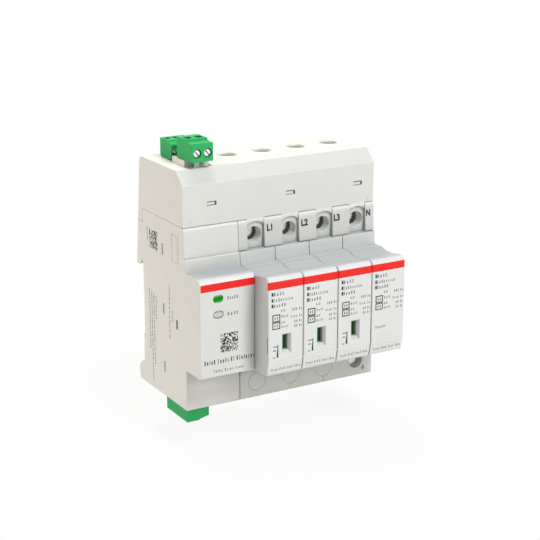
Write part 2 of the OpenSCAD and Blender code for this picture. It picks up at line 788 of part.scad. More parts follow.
module cartridge_back(k) {
  x = pole_x(k);
  play = 0.05;
  color(cartridge_white)
  difference() {
    union() {
      box([x - shell_half, x + shell_half], [shell_back_y, shell_back_y + back_plate_t],
          [pocket_bottom + pocket_play, pocket_top - pocket_play]);
      box([x - shell_half + shell_wall + 0.1, x + shell_half - shell_wall - 0.1],
          [shell_back_y - 1.5, shell_back_y + 0.1],
          [pocket_bottom + pocket_play + shell_wall + 0.1, pocket_top - pocket_play - shell_wall - 0.1]);
    }
    for (z = [blade_rise, -blade_drop])
      box([x - blade_t / 2 - play, x + blade_t / 2 + play], [shell_back_y - 3, shell_back_y + 3],
          [z - blade_h / 2 - play, z + blade_h / 2 + play]);
  }
}

module contact_blades(k) {
  x = pole_x(k);
  color(copper)
  for (z = [blade_rise, -blade_drop])
    box([x - blade_t / 2, x + blade_t / 2], [blade_in_y, blade_tip_y], [z - blade_h / 2, z + blade_h / 2]);
}

block_front_y = face_y + 4;
block_back_y = blade_in_y - 1.5;
block_z = [-blade_drop + 2, blade_rise - 1.7];
block_right = shell_half - shell_wall - 0.4;

// Flat rectangle with rounded corners of radius r
module rounded_plate(y, z, r) {
  translate([y[0] + r, z[0]]) square([y[1] - y[0] - 2 * r, z[1] - z[0]]);
  translate([y[0], z[0] + r]) square([y[1] - y[0], z[1] - z[0] - 2 * r]);
  for (cy = [y[0] + r, y[1] - r], cz = [z[0] + r, z[1] - r]) translate([cy, cz]) circle(r = r);
}

module varistor(k) {
  x = pole_x(k);
  color("steelblue") {
    along_x(x + block_right - block_t, x + block_right)
      rounded_plate([block_front_y, block_back_y], block_z, 3);
    // Tabs that meet the blades
    for (z = [[block_z[1] - 1.5, blade_rise + 1], [-blade_drop - 1, block_z[0] + 1.5]])
      box([x - blade_t / 2, x + blade_t / 2], [block_back_y - 4, blade_in_y], z);
  }
}

module spark_gap() {
  x = pole_x(poles - 1);
  y = -28;
  color("whitesmoke") {
    rod_z(9.6, x, y, -12, 12);
    for (z = [-13.5, 12]) rod_z(10.4, x, y, z, z + 1.5);
    for (z = [[13, blade_rise + 1], [-blade_drop - 1, -13]])
      box([x - blade_t / 2, x + blade_t / 2], [y, blade_in_y], z);
  }
}

// Sprung strip soldered to the block, whose tip bears on the flag
module thermal_link(k) {
  x = pole_x(k) + block_right - block_t;
  link_z = [4, 9];
  color(copper) {
    box([x - 0.7, x], [flag_y + flag_t + 1.2, block_back_y - 3], link_z);
    box([x - 0.7, x + 3], [flag_y + flag_t + 0.95, flag_y + flag_t + 1.65], link_z);
  }
}

module status_flag(k) {
  x = pole_x(k) + window_x;
  color(flag_green)
    box([x - flag_half, x + flag_half], [flag_y, flag_y + flag_t], [flag_top - flag_h, flag_top]);
}

// Monitoring module

module circuit_board() {
  color(board_green)
  along_x(board_x, board_x + board_t)
    polygon([
      [face_y + wall + 0.8, bottom_z + wall + 2], [-seat_wall - 0.3, bottom_z + wall + 2],
      [-seat_wall - 0.3, board_top], [face_y + 6, board_top], [face_y + 6, seam_z - 5],
      [band_in_y + 0.6, seam_z - 5], [band_in_y + 0.6, nose_z - wall - 1.6],
      [board_front_y, nose_z - wall - 1.6], [board_front_y, -nose_z + wall + 1],
      [face_y + wall + 0.8, -nose_z + wall + 1]
    ]);
}

module board_parts() {
  face_x = board_x + board_t;
  color("dimgray") {
    // Relay, transformer and a row of capacitors on the right face
    box([face_x, face_x + 9.5], [face_y + 8, face_y + 28], [-24, -9]);
    box([face_x, face_x + 10], [face_y + 9, face_y + 25], [-4, 14]);
    for (i = [0 : 2]) rod_x(6, face_x, face_x + 8, face_y + 10 + 8 * i, 24);
    // Lamp bodies on the left face
    for (z = [power_lamp_z, signal_lamp_z])
      box([lamp_x - 1.5, board_x], [lamp_back_y + 0.2, lamp_back_y + 3.2], [z - 1.5, z + 1.5]);
  }
}

module lamp(z) {
  lozenge_y(lamp_w - 0.5, lamp_h - 0.5, lamp_x, z, monitor_nose_y + 0.15, lamp_back_y);
}

module power_lamp() { color("limegreen") lamp(power_lamp_z); }
module signal_lamp() { color("white") lamp(signal_lamp_z); }

// Plug-in terminal blocks

supply_foot_y = [supply_y[1] - 6.1, supply_y[1] - 1.3];
supply_foot_x = [supply_x + 1.2, supply_x + supply_w - 1.2];
supply_foot_h = 6.7;
relay_foot_y = [relay_y[0] + 2.4, relay_y[1] - 2.3];
relay_foot_x = [relay_x + 1, relay_x + relay_w - 1];
relay_foot_h = 6.4;
sensor_foot_x = [sensor_x[0] + 3, sensor_x[1] - 2.2];
sensor_foot_y = [sensor_y + 2.8, sensor_y + sensor_l - 2.6];
sensor_foot_h = 6.7;
supply_screw_z = supply_z + 3.65;
relay_screw_z = relay_z + 4;
sensor_screw_z = sensor_top - 2.1;

module supply_header() {
  color(header_grey)
  difference() {
    union() {
      box([supply_x - 0.2, supply_x + supply_w + 1.5], [supply_y[0] + 7.1, supply_y[1] + 4.4],
          [board_top, supply_z - 0.3]);
      // Coding post in front
      box([supply_x + 3.2, supply_x + 5.4], [supply_y[0] + 4.2, supply_y[0] + 7.3],
          [board_top + 6, supply_z - 0.3]);
    }
    box(wider(supply_foot_x, plug_play), wider(supply_foot_y, plug_play),
        [supply_z - supply_foot_h - 0.5, supply_z + over]);
    // Open rear gallery behind the plug
    box([supply_x + 1, supply_x + supply_w + 0.4], [supply_y[1] + 0.5, supply_y[1] + 3.4],
        [supply_z - 5, supply_z + over]);
  }
}

module relay_header() {
  color(header_grey)
  difference() {
    box([relay_x - 0.2, relay_x + relay_w + 0.2], [relay_y[0] + 0.6, relay_y[1] - 0.4],
        [board_top, relay_z - 0.3]);
    box(wider(relay_foot_x, plug_play), wider(relay_foot_y, plug_play),
        [relay_z - relay_foot_h - 0.5, relay_z + over]);
  }
}

module sensor_header() {
  color(header_grey)
  difference() {
    union() {
      box([left_x + wall + 0.15, left_x + 10.1], [face_y + wall + 0.2, sensor_y + sensor_l - 1],
          [bottom_z + 0.1, bottom_z + 12]);
      box([left_x + 10, board_x], [face_y + 6, sensor_y + sensor_l - 4], [bottom_z + 6, bottom_z + 12]);
    }
    box(wider(sensor_foot_x, plug_play), wider(sensor_foot_y, plug_play),
        [bottom_z - over, sensor_top + sensor_foot_h + 0.5]);
  }
}

module supply_plug() {
  front = supply_y[0];
  color(plug_green)
  difference() {
    union() {
      along_x(supply_x, supply_x + supply_w)
        polygon([[front, supply_z], [supply_y[1], supply_z], [supply_y[1], supply_z + 9.15],
                 [front + 5.5, supply_z + 9.15], [front + 4.9, supply_z + 8.2],
                 [front + 1.5, supply_z + 7.85], [front, supply_z + 8.1]]);
      box(supply_foot_x, supply_foot_y, [supply_z - supply_foot_h, supply_z + 0.1]);
    }
    for (i = [0 : 1]) {
      x = supply_x + (i + 0.5) * wide_pitch;
      box([x - 1.7, x + 1.7], [front + 6.9, front + 11.1], [supply_z + 2, supply_z + 10]);
      rod_y(4, x, supply_screw_z, front - over, front + 3);
      rod_y(2.9, x, supply_screw_z, front, front + 8);
    }
  }
}

module relay_plug() {
  front = relay_y[0];
  color(plug_green)
  difference() {
    union() {
      along_x(relay_x, relay_x + relay_w)
        polygon([[front, relay_z + 0.4], [front + 2, relay_z], [relay_y[1], relay_z],
                 [relay_y[1], relay_z + 8.3], [front + 3.7, relay_z + 8.3],
                 [front + 3.2, relay_z + 7.7], [front, relay_z + 6.8]]);
      box(relay_foot_x, relay_foot_y, [relay_z - relay_foot_h, relay_z + 0.1]);
    }
    for (i = [0 : 2]) {
      x = relay_x + 0.1 + (i + 0.5) * narrow_pitch;
      box([x - 1.25, x + 1.25], [front + 6.3, front + 9.6], [relay_z + 2, relay_z + 9]);
      rod_y(3.2, x, relay_screw_z, front - over, front + 2.5);
      rod_y(2.4, x, relay_screw_z, front, front + 7);
    }
  }
}

module sensor_plug() {
  x0 = sensor_x[0];
  x1 = sensor_x[1];
  low = sensor_top - sensor_h;
  color(plug_green)
  difference() {
    union() {
      along_y(sensor_y, sensor_y + sensor_l)
        polygon([[x0, sensor_top], [x0, low], [x0 + 5.85, low], [x0 + 6.35, low + 0.45],
                 [x1 - 0.3, low + 1.4], [x1, low + 1.6], [x1, sensor_top]]);
      box(sensor_foot_x, sensor_foot_y, [sensor_top - 0.1, sensor_top + sensor_foot_h]);
    }
    for (i = [0 : 3]) {
      y = sensor_y + (i + 0.5) * wide_pitch;
      box([x0 + 1.4, x0 + 4.8], [y - 1.7, y + 1.7], [low - over, low + 3.6]);
      rod_x(3.1, x1 - 2.5, x1 + over, y, sensor_screw_z);
      rod_x(2.2, x1 - 5.8, x1, y, sensor_screw_z);
    }
  }
}

// Slotted screw of head diameter d, pointing along its local +Y
module plug_screw(d, shank, length) {
  color(steel)
  difference() {
    union() {
      screw_head(d, 1.9);
      rod_y(shank, 0, 0, 1.8, length);
    }
    rotate([0, 50, 0]) box([-d, d], [-over, 0.8], [-0.3, 0.3]);
  }
}

module supply_screw(i) {
  translate([supply_x + (i + 0.5) * wide_pitch, supply_y[0] + 0.6, supply_screw_z]) plug_screw(3.6, 2.4, 7);
}

module relay_screw(i) {
  translate([relay_x + 0.1 + (i + 0.5) * narrow_pitch, relay_y[0] + 0.5, relay_screw_z])
    plug_screw(2.8, 2, 6);
}

module sensor_screw(i) {
  translate([sensor_x[1] - 0.4, sensor_y + (i + 0.5) * wide_pitch, sensor_screw_z])
    rotate([0, 0, 90]) plug_screw(2.7, 1.8, 5);
}

// Clip that slides down behind the foot to free the rail
module rail_clip(x) {
  y1 = clip_y + clip_t;
  half = clip_w / 2;
  color("gainsboro")
  difference() {
    union() {
      box([x - half, x + half], [clip_y, y1], [bottom_z - 0.5, clip_top - 2.5]);
      // Nose behind the rail, bevelled so that the rail pushes it down
      along_x(x - half, x + half)
        polygon([[clip_y, clip_top - 2.6], [y1, clip_top - 2.6], [y1, clip_top - 2.4],
                 [clip_y + 0.8, clip_top], [clip_y, clip_top]]);
      box([x - half + 3, x + half - 3], [clip_y, y1], [bottom_z - clip_tab, bottom_z - 0.4]);
    }
    box([x - 2.4, x + 2.4], [clip_y - over, y1 + over],
        [bottom_z - clip_tab + 1.2, bottom_z - clip_tab + 2.8]);
    // Slots that free the two spring arms
    for (side = [-1, 1])
      translate([x + side * (half - 2.6), 0, 0])
        box([-0.5, 0.5], [clip_y - over, y1 + over], [bottom_z + 2, clip_top - 6]);
  }
}

base_housing();
monitor_housing();
monitor_cover();
top_hood();
line_bars();
earth_bar();
circuit_board();
board_parts();
power_lamp();
signal_lamp();
supply_header();
relay_header();
sensor_header();
cartridge_shell(0, true);  // cartridge_shell_l1
cartridge_shell(1, true);  // cartridge_shell_l2
cartridge_shell(2, true);  // cartridge_shell_l3
cartridge_shell(3, false);  // cartridge_shell_n
cartridge_back(0);  // cartridge_back_l1
cartridge_back(1);  // cartridge_back_l2
cartridge_back(2);  // cartridge_back_l3
cartridge_back(3);  // cartridge_back_n
contact_blades(0);  // contact_blades_l1
contact_blades(1);  // contact_blades_l2
contact_blades(2);  // contact_blades_l3
contact_blades(3);  // contact_blades_n
varistor(0);  // varistor_l1
varistor(1);  // varistor_l2
varistor(2);  // varistor_l3
spark_gap();  // spark_gap_n
thermal_link(0);  // thermal_link_l1
thermal_link(1);  // thermal_link_l2
thermal_link(2);  // thermal_link_l3
status_flag(0);  // status_flag_l1
status_flag(1);  // status_flag_l2
status_flag(2);  // status_flag_l3
terminal_screw(pole_x(0), line_z, head_y);  // terminal_screw_l1
terminal_screw(pole_x(1), line_z, head_y);  // terminal_screw_l2
terminal_screw(pole_x(2), line_z, head_y);  // terminal_screw_l3
terminal_screw(pole_x(3), line_z, head_y);  // terminal_screw_n
terminal_screw(pole_x(3), earth_z, earth_head_y);  // terminal_screw_earth
clamp_cage(pole_x(0), line_z);  // clamp_cage_l1
clamp_cage(pole_x(1), line_z);  // clamp_cage_l2
clamp_cage(pole_x(2), line_z);  // clamp_cage_l3
clamp_cage(pole_x(3), line_z);  // clamp_cage_n
clamp_cage(pole_x(3), earth_z);  // clamp_cage_earth
supply_plug();
relay_plug();
sensor_plug();
supply_screw(0);  // supply_screw_1
supply_screw(1);  // supply_screw_2
relay_screw(0);  // relay_screw_1
relay_screw(1);  // relay_screw_2
relay_screw(2);  // relay_screw_3
sensor_screw(0);  // sensor_screw_1
sensor_screw(1);  // sensor_screw_2
sensor_screw(2);  // sensor_screw_3
sensor_screw(3);  // sensor_screw_4
rail_clip(clip_left_x);  // rail_clip_left
rail_clip(clip_right_x);  // rail_clip_right
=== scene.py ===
from math import atan2, cos, pi, radians, sin

import bmesh
import bpy
from mathutils import Matrix, Vector


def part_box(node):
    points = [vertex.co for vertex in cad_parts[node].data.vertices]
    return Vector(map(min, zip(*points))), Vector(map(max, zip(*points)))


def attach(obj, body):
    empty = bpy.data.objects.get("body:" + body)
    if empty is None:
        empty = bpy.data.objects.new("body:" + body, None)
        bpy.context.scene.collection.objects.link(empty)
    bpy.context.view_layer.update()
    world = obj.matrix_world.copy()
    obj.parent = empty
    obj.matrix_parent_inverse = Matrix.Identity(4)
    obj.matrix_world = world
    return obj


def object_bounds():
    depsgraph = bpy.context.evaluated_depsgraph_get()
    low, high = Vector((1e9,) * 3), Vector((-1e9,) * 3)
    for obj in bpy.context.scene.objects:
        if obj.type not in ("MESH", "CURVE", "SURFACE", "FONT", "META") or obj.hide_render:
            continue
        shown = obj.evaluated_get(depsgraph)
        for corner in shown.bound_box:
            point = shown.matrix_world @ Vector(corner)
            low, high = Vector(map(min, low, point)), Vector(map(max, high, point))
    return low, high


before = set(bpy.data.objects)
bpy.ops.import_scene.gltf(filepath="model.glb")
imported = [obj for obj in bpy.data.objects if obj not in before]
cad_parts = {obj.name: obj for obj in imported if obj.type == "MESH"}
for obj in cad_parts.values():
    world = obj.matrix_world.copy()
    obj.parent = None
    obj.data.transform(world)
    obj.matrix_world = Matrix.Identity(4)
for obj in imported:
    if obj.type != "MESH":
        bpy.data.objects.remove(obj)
cad_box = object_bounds()
scene = bpy.context.scene
MM = 0.001

# Main planes of the device, in millimetres, from the middle of the rail seat. JOINT lies between the module
# and the poles, BAND and SEAM bound the row of terminal screws, and the hood reaches from SEAM to TOP.

POLES = ("l1", "l2", "l3", "n")
PITCH = 17.8
LEFT, RIGHT = -48.95, 48.95
JOINT = LEFT + 26.7
POLE_X = [JOINT + (k + 0.5) * PITCH for k in range(len(POLES))]
BOTTOM, FOOT_TOP, FOOT_CREASE, BAND, SEAM, TOP = -41.35, -22.4, -15.6, 28.45, 42.15, 66.15
FACE, HOOD_FACE, SHOULDER = -42.0, -40.7, -42.9
MODULE_NOSE, CARTRIDGE_NOSE = -55.7, -67.5
SEPARATOR_LOW, SEPARATOR_TOP = HOOD_FACE - 1, HOOD_FACE - 0.35

# Screw barrels, wire holes, knock-out rings, lamps, and pitches of the plugs

BARREL_Z, BARREL_R, BARREL_MOUTH, SCREW_HEAD = 34.5, 3.8, -41.7, -32.5
WIRE_R, WIRE_Y = 5.0, -15.6
RINGS_LEFT, RINGS_RIGHT, RINGS_TOP = JOINT + 1, 30, -27
LAMP_X, POWER_LAMP_Z, SIGNAL_LAMP_Z = LEFT + 8.9, 13.25, 6.15
LENS_R, LENS_HALF, RIM_R = 1.04, 1.16, 1.32
WIDE_PITCH, NARROW_PITCH = 5.08, 3.81


# Shader helpers

class Value:
    """A shader socket that can stand in arithmetic; each operation adds a Math node."""

    def __init__(self, graph, socket):
        self.graph, self.socket = graph, socket

    def _math(self, operation, *values):
        return self.graph.add("ShaderNodeMath", {"operation": operation}, *values)

    def __add__(self, other): return self._math("ADD", self, other)
    def __radd__(self, other): return self._math("ADD", other, self)
    def __sub__(self, other): return self._math("SUBTRACT", self, other)
    def __rsub__(self, other): return self._math("SUBTRACT", other, self)
    def __mul__(self, other): return self._math("MULTIPLY", self, other)
    def __rmul__(self, other): return self._math("MULTIPLY", other, self)
    def __truediv__(self, other): return self._math("DIVIDE", self, other)
    def __gt__(self, other): return self._math("GREATER_THAN", self, other)
    def __lt__(self, other): return self._math("LESS_THAN", self, other)
    def __abs__(self): return self._math("ABSOLUTE", self)
    def clamp(self): return self.graph.add("ShaderNodeClamp", {}, self)


class Graph:
    """A node tree."""

    def __init__(self, tree):
        self.tree = tree

    def add(self, kind, settings, *values, output=0, **named):
        """Adds one node: its settings first, then its inputs by order or by name."""
        node = self.tree.nodes.new(kind)
        for key, setting in settings.items():
            setattr(node, key, setting)
        by_name = [(node.inputs[key.replace("_", " ")], value) for key, value in named.items()]
        for socket, value in list(zip(node.inputs, values)) + by_name:
            self.feed(socket, value)
        return Value(self, node.outputs[output])

    def feed(self, socket, value):
        """Links a value or sets a number; None leaves the socket as it is."""
        if isinstance(value, Value):
            self.tree.links.new(value.socket, socket)
        elif value is not None:
            socket.default_value = value

    def seen(self):
        """1 for what the camera, a gloss or a clear part looks at, 0 for what only lights the device."""
        camera_ray, glossy_ray, clear_ray = [
            self.add("ShaderNodeLightPath", {}, output=ray)
            for ray in ("Is Camera Ray", "Is Glossy Ray", "Is Transmission Ray")]
        return (camera_ray + glossy_ray + clear_ray).clamp()


EDGE_GAIN = 20.0


class Finish(Graph):
    """A procedural material on object coordinates."""

    def __init__(self, name):
        self.material = bpy.data.materials.new(name)
        self.material.use_nodes = True
        super().__init__(self.material.node_tree)
        self.shader = self.tree.nodes["Principled BSDF"]
        self.place = self.add("ShaderNodeTexCoord", {}, output="Object")
        self._axes = self._eased = None

    def axis(self, letter):
        """One object coordinate, in millimetres."""
        if self._axes is None:
            self._axes = self.add("ShaderNodeSeparateXYZ", {}, self.place).socket.node
        return Value(self, self._axes.outputs[letter]) / MM

    def between(self, letter, low, high):
        """1 where an object coordinate lies between two values in millimetres."""
        middle, half = (low + high) / 2, (high - low) / 2
        return abs(self.axis(letter) - middle) < half

    def from_joint(self):
        """Distance from the nearest border of a pole, in millimetres."""
        return self.add("ShaderNodeMath", {"operation": "PINGPONG"}, self.axis("X") - JOINT, PITCH / 2)

    def noise(self, size_mm, detail=3.0, roughness=0.55, distortion=0.0):
        """Cloudy values with features of a size in millimetres."""
        return self.add("ShaderNodeTexNoise", {}, Vector=self.place, Scale=1 / (size_mm * MM),
                        Detail=detail, Roughness=roughness, Distortion=distortion)

    def stretched(self, factors):
        """Object coordinates scaled apart along each axis."""
        return self.add("ShaderNodeVectorMath", {"operation": "MULTIPLY"}, self.place, factors)

    def open_share(self, reach_mm):
        """1 where the surface lies open, towards 0 in a recess."""
        return self.add("ShaderNodeAmbientOcclusion", {"samples": 6}, Distance=reach_mm * MM, output=1)

    def mix(self, share, first, second, blend="MIX"):
        """Mixes two colours, whose inputs come after five for numbers and vectors."""
        other_inputs = (None,) * 5
        return self.add("ShaderNodeMix", {"data_type": "RGBA", "blend_type": blend},
                        share, *other_inputs, first, second, output=2)

    def skin(self):
        """The colour that reaches the shader so far."""
        return Value(self, self.shader.inputs["Base Color"].links[0].from_socket)

    def set(self, **sockets):
        """Feeds sockets of the shader."""
        for key, value in sockets.items():
            self.feed(self.shader.inputs[key.replace("_", " ")], value)
        return self

    def eased(self, edge_mm):
        """The normal as if each edge were rounded."""
        if self._eased is None:
            self._eased = self.add("ShaderNodeBevel", {"samples": 4}, edge_mm * MM)
        return self._eased

    def edges(self, edge_mm):
        """1 along the edges, 0 on the flats."""
        flat = self.add("ShaderNodeNewGeometry", {}, output="Normal")
        along = self.add("ShaderNodeVectorMath", {"operation": "DOT_PRODUCT"}, self.eased(edge_mm), flat,
                         output="Value")
        return ((1 - along) * EDGE_GAIN).clamp()

    def bumped(self, height, depth_mm, strength=1.0, edge_mm=0.0):
        """Feeds the normal from a height, over edges that the eye reads as rounded."""
        settings = dict(Strength=strength, Distance=depth_mm * MM, Height=height)
        if edge_mm:
            settings["Normal"] = self.eased(edge_mm)
        return self.set(Normal=self.add("ShaderNodeBump", {}, **settings))


def linear(red, green, blue):
    """A screen colour of 0 to 255 as the shader's linear colour."""
    def one(value):
        value /= 255
        return value / 12.92 if value <= 0.04045 else ((value + 0.055) / 1.055) ** 2.4
    return (one(red), one(green), one(blue), 1.0)


def shaded(color, factor):
    """A colour made darker or lighter."""
    return tuple(min(1.0, c * factor) for c in color[:3]) + (1.0,)


# Painted light and shade of the housing, by place: depths in millimetres and shares

SIDE_MARGIN = 0.05
BARREL_SHADE_SHARE, TOP_HIGHLIGHT_SHARE, WIRE_WAY_LIGHT_SHARE = 0.85, 0.45, 0.9
TOP_REACH, TOP_FADE, FRONT_REACH, FRONT_FADE = 10, 8, 12, 6
FOOT_SHADE, SEPARATOR_SHADE = 0.15, 0.14
STEP_PAINTED_LIGHT, HEADER_PAINTED_LIGHT = 0.8, 0.6


def in_barrel(f):
    """1 within the circle of a screw barrel."""
    across, up = PITCH / 2 - f.from_joint(), f.axis("Z") - BARREL_Z
    return (across * across + up * up < BARREL_R ** 2) * (f.axis("X") > JOINT)


def barrel_end_shade(f):
    """Painted shade: the dark ring round a screw head at the end of its barrel."""
    return f.between("Y", SCREW_HEAD - 2.3, SCREW_HEAD + 8) * in_barrel(f) * BARREL_SHADE_SHARE


def top_edge_highlights(f):
    """Painted highlight on the rounded top edge of the separators and of the module's band."""
    return (f.between("Z", SEAM - 1.5, SEAM - 0.05) * (f.axis("Y") < HOOD_FACE + 0.4)
            * f.between("X", LEFT + SIDE_MARGIN, RIGHT - SIDE_MARGIN) * TOP_HIGHLIGHT_SHARE)


def wire_way_light(f):
    """Painted light on the inside of the wire holes on top."""
    reach = WIRE_R + 0.3
    return (f.between("X", JOINT, RIGHT - 1) * f.between("Z", TOP - 14, TOP - 0.06)
            * f.between("Y", WIRE_Y - reach, WIRE_Y + reach) * WIRE_WAY_LIGHT_SHARE)


def housing_painted_light(f):
    """Lifts the painted shade in holes and the rings' grooves; paints shade on the foot and separators."""
    from_top = ((f.axis("Z") - TOP + TOP_REACH) / TOP_FADE).clamp()
    from_front = ((BARREL_MOUTH + FRONT_REACH - f.axis("Y")) / FRONT_FADE).clamp() * in_barrel(f)
    grooves = (f.between("X", RINGS_LEFT, RINGS_RIGHT) * (f.axis("Z") < RINGS_TOP)
               * f.between("Y", FACE + 0.03, FACE + 2))
    foot = (f.axis("Z") < FOOT_TOP) * (f.axis("Y") < FACE + 0.05)
    separators = f.between("Z", BAND, SEAM - 2.5) * (f.axis("Y") < SEPARATOR_TOP)
    return from_top + from_front + grooves - FOOT_SHADE * foot - SEPARATOR_SHADE * separators


def band_painted_light(f):
    """Lifts the painted shade in the step below the module's band."""
    return STEP_PAINTED_LIGHT * f.between("Z", BAND - 0.7, BAND + 0.3)


def header_painted_light(f):
    """Lifts the painted shade evenly on the headers, which stand in the plugs' shade."""
    return HEADER_PAINTED_LIGHT


RECESS_SHADE_REACH, RECESS_SHADE_TONE = 9.0, (0.36, 0.39, 0.41)
EDGE_HIGHLIGHT_SHARE, EDGE_HIGHLIGHT_TONE = 0.9, 1.25
FLOW_MM, CLOUD_MM = 17, 6
FLOW_DARK, FLOW_LIGHT, GRAIN_DARK = 0.965, 1.02, 0.93
BARREL_SHADE_TONE, WIRE_WAY_LIGHT_TONE = 0.06, 1.28
PLASTIC_IOR = 1.49


def moulded(name, color, roughness=0.46, grain_mm=0.45, depth_mm=0.012, edge_mm=0.4, painted_light=None):
    """Plastic from a spark-eroded mould: fine grain and flow marks, with a painted highlight on eased edges
    and painted shade in recesses.

    A painted-light function says where the painted shade of the recesses is lighter or deeper, and comes
    with the housing's painted highlights and shades.
    """
    f = Finish(name)
    # Painted shade: the colour goes darker where the surface lies in a recess
    open_share = f.open_share(RECESS_SHADE_REACH)
    if painted_light:
        open_share = (open_share + painted_light(f)).clamp()
    recess_shade = tuple(c * tone for c, tone in zip(color[:3], RECESS_SHADE_TONE)) + (1.0,)
    grain = f.noise(grain_mm, 4.0, 0.6)
    flow = f.noise(FLOW_MM, 2.0, 0.5, 0.8)
    cloud = f.noise(CLOUD_MM, 3.0)
    tint = f.mix((flow - 0.35) * 1.6, shaded(color, FLOW_DARK), shaded(color, FLOW_LIGHT))
    surface = f.mix((grain - 0.3) * 0.35, tint, shaded(color, GRAIN_DARK))
    # Painted highlight: the colour goes lighter along the edges
    edge_highlight = f.edges(edge_mm) * EDGE_HIGHLIGHT_SHARE
    if painted_light:
        edge_highlight = edge_highlight * (f.axis("Z") > RINGS_TOP)
    surface = f.mix(edge_highlight, surface, shaded(color, EDGE_HIGHLIGHT_TONE))
    skin = f.mix(open_share, recess_shade, surface)
    if painted_light:
        # The housing's painted highlights on top edges, painted shade round the screw heads, painted light in
        # the wire holes
        skin = f.mix(top_edge_highlights(f), skin, shaded(color, EDGE_HIGHLIGHT_TONE))
        skin = f.mix(barrel_end_shade(f), skin, shaded(color, BARREL_SHADE_TONE))
        skin = f.mix(wire_way_light(f), skin, shaded(color, WIRE_WAY_LIGHT_TONE))
    f.set(Base_Color=skin, Roughness=roughness + 0.10 * (cloud - 0.5) + 0.06 * (grain - 0.5))
    f.shader.inputs["IOR"].default_value = PLASTIC_IOR
    return f.bumped(grain, depth_mm, 0.55, edge_mm)


BRUSHED, TURNED = (900.0, 9000.0, 6000.0), (3500.0, 3500.0, 3500.0)
SPOT_MM, DULL_TONE, SLOT_SHADE_TONE = 1.4, 0.78, 0.05


def metal(name, color, roughness=0.24, lines=BRUSHED, metallic=1.0, slot_mm=0.9):
    """Plated metal with fine turning or drawing lines, a few dull spots and painted shade in its slots."""
    f = Finish(name)
    lines = f.add("ShaderNodeTexNoise", {}, Vector=f.stretched(lines), Scale=1.0, Detail=2.0, Roughness=0.5)
    spots = f.noise(SPOT_MM, 4.0, 0.65)
    plated = f.mix((spots - 0.4) * 1.2, color, shaded(color, DULL_TONE))
    f.set(Base_Color=f.mix(f.open_share(slot_mm), shaded(color, SLOT_SHADE_TONE), plated),
          Roughness=roughness + 0.20 * (spots - 0.45) + 0.10 * (lines - 0.5), Metallic=metallic)
    return f.bumped(lines, 0.006, 0.5, 0.10)


# Finishes of the housings and cartridges. The module's lip is the rounded edge over its stripe and gets a
# painted highlight; the shelf behind it gets painted shade. A cartridge's ribbed scoop gets painted shade,
# and at the top of its foot painted shade just above the crease meets a painted highlight on the ridge just
# below it.

HOUSING = linear(229, 229, 223)
CARTRIDGE = linear(235, 236, 232)
STRIPE_RED = linear(243, 20, 0)
MODULE_STRIPE, CARTRIDGE_STRIPE = (17.05, 20.35), (17.25, 20.65)
STRIPE_LEFT, STRIPE_DEPTH = LEFT + 0.45, 0.9
LIP_START, LIP_DEPTH, LIP_HIGHLIGHT_TONE = 0.5, 2.2, linear(246, 246, 243)
SHELF_LEVEL, SHELF_FADE, SHELF_SHADE_SHARE, SHELF_SHADE_TONE = (21.5, 22.7), 2, 0.9, linear(198, 202, 203)
SCOOP_LOW, SCOOP_BACK, SIDE_GAP = 8.0, -48.2, 0.25
SCOOP_SHADE_TONE = (0.765, 0.775, 0.785, 1.0)
FRONT_DEPTH = 0.7
CREASE_LINE, CREASE_REACH, CREASE_SHADE_SHARE = FOOT_CREASE + 0.05, 0.4, 0.5
CREASE_SHADE_TONE, RIDGE_HIGHLIGHT_TONE = linear(206, 206, 198), linear(248, 248, 244)

housing = moulded("housing_moulding", HOUSING, painted_light=housing_painted_light)

module = moulded("module_moulding", HOUSING, edge_mm=0.7, painted_light=band_painted_light)
ahead = module.axis("Y") - MODULE_NOSE
off_side = module.axis("X") > LEFT + SIDE_MARGIN
module_stripe = (module.between("Z", *MODULE_STRIPE) * (module.axis("Y") < MODULE_NOSE + STRIPE_DEPTH)
                 * (module.axis("X") > STRIPE_LEFT))
shelf_shade = module.between("Z", *SHELF_LEVEL) * ((ahead - LIP_DEPTH) / SHELF_FADE).clamp() * off_side
lip_highlight = (module.axis("Z") > MODULE_STRIPE[1]) * (1 - (ahead - LIP_START) / LIP_DEPTH).clamp() * off_side
skin = module.mix(shelf_shade * SHELF_SHADE_SHARE, module.skin(), SHELF_SHADE_TONE)
skin = module.mix(lip_highlight, skin, LIP_HIGHLIGHT_TONE)
module.set(Base_Color=module.mix(module_stripe, skin, STRIPE_RED))

cartridge = moulded("cartridge_moulding", CARTRIDGE, 0.42, 0.4, 0.010, 0.3)
on_front = cartridge.axis("Y") < CARTRIDGE_NOSE + FRONT_DEPTH
nose_stripe = cartridge.between("Z", *CARTRIDGE_STRIPE) * on_front
# Painted shade: the ribbed scoop darker than the rest of the cartridge
scoop_shade = ((cartridge.axis("Z") > SCOOP_LOW) * cartridge.between("Y", CARTRIDGE_NOSE + LIP_DEPTH, SCOOP_BACK)
        * (cartridge.from_joint() > SIDE_GAP))
# Painted shade just above the foot's crease and a painted highlight on the ridge just below it
crease_shade = cartridge.between("Z", CREASE_LINE, FOOT_CREASE + CREASE_REACH) * on_front
ridge_highlight = cartridge.between("Z", FOOT_CREASE - CREASE_REACH, CREASE_LINE) * on_front
skin = cartridge.mix(scoop_shade, cartridge.skin(), SCOOP_SHADE_TONE, "MULTIPLY")
skin = cartridge.mix(crease_shade * CREASE_SHADE_SHARE, skin, CREASE_SHADE_TONE)
skin = cartridge.mix(ridge_highlight, skin, RIDGE_HIGHLIGHT_TONE)
cartridge.set(Base_Color=cartridge.mix(nose_stripe, skin, STRIPE_RED))

# Headers: a colour paler than the housing's and lifted painted shade, as painted light in the plugs' shade
header = moulded("header_moulding", linear(232, 232, 228), 0.5, painted_light=header_painted_light)
clip = moulded("clip_moulding", linear(214, 214, 208), 0.38)

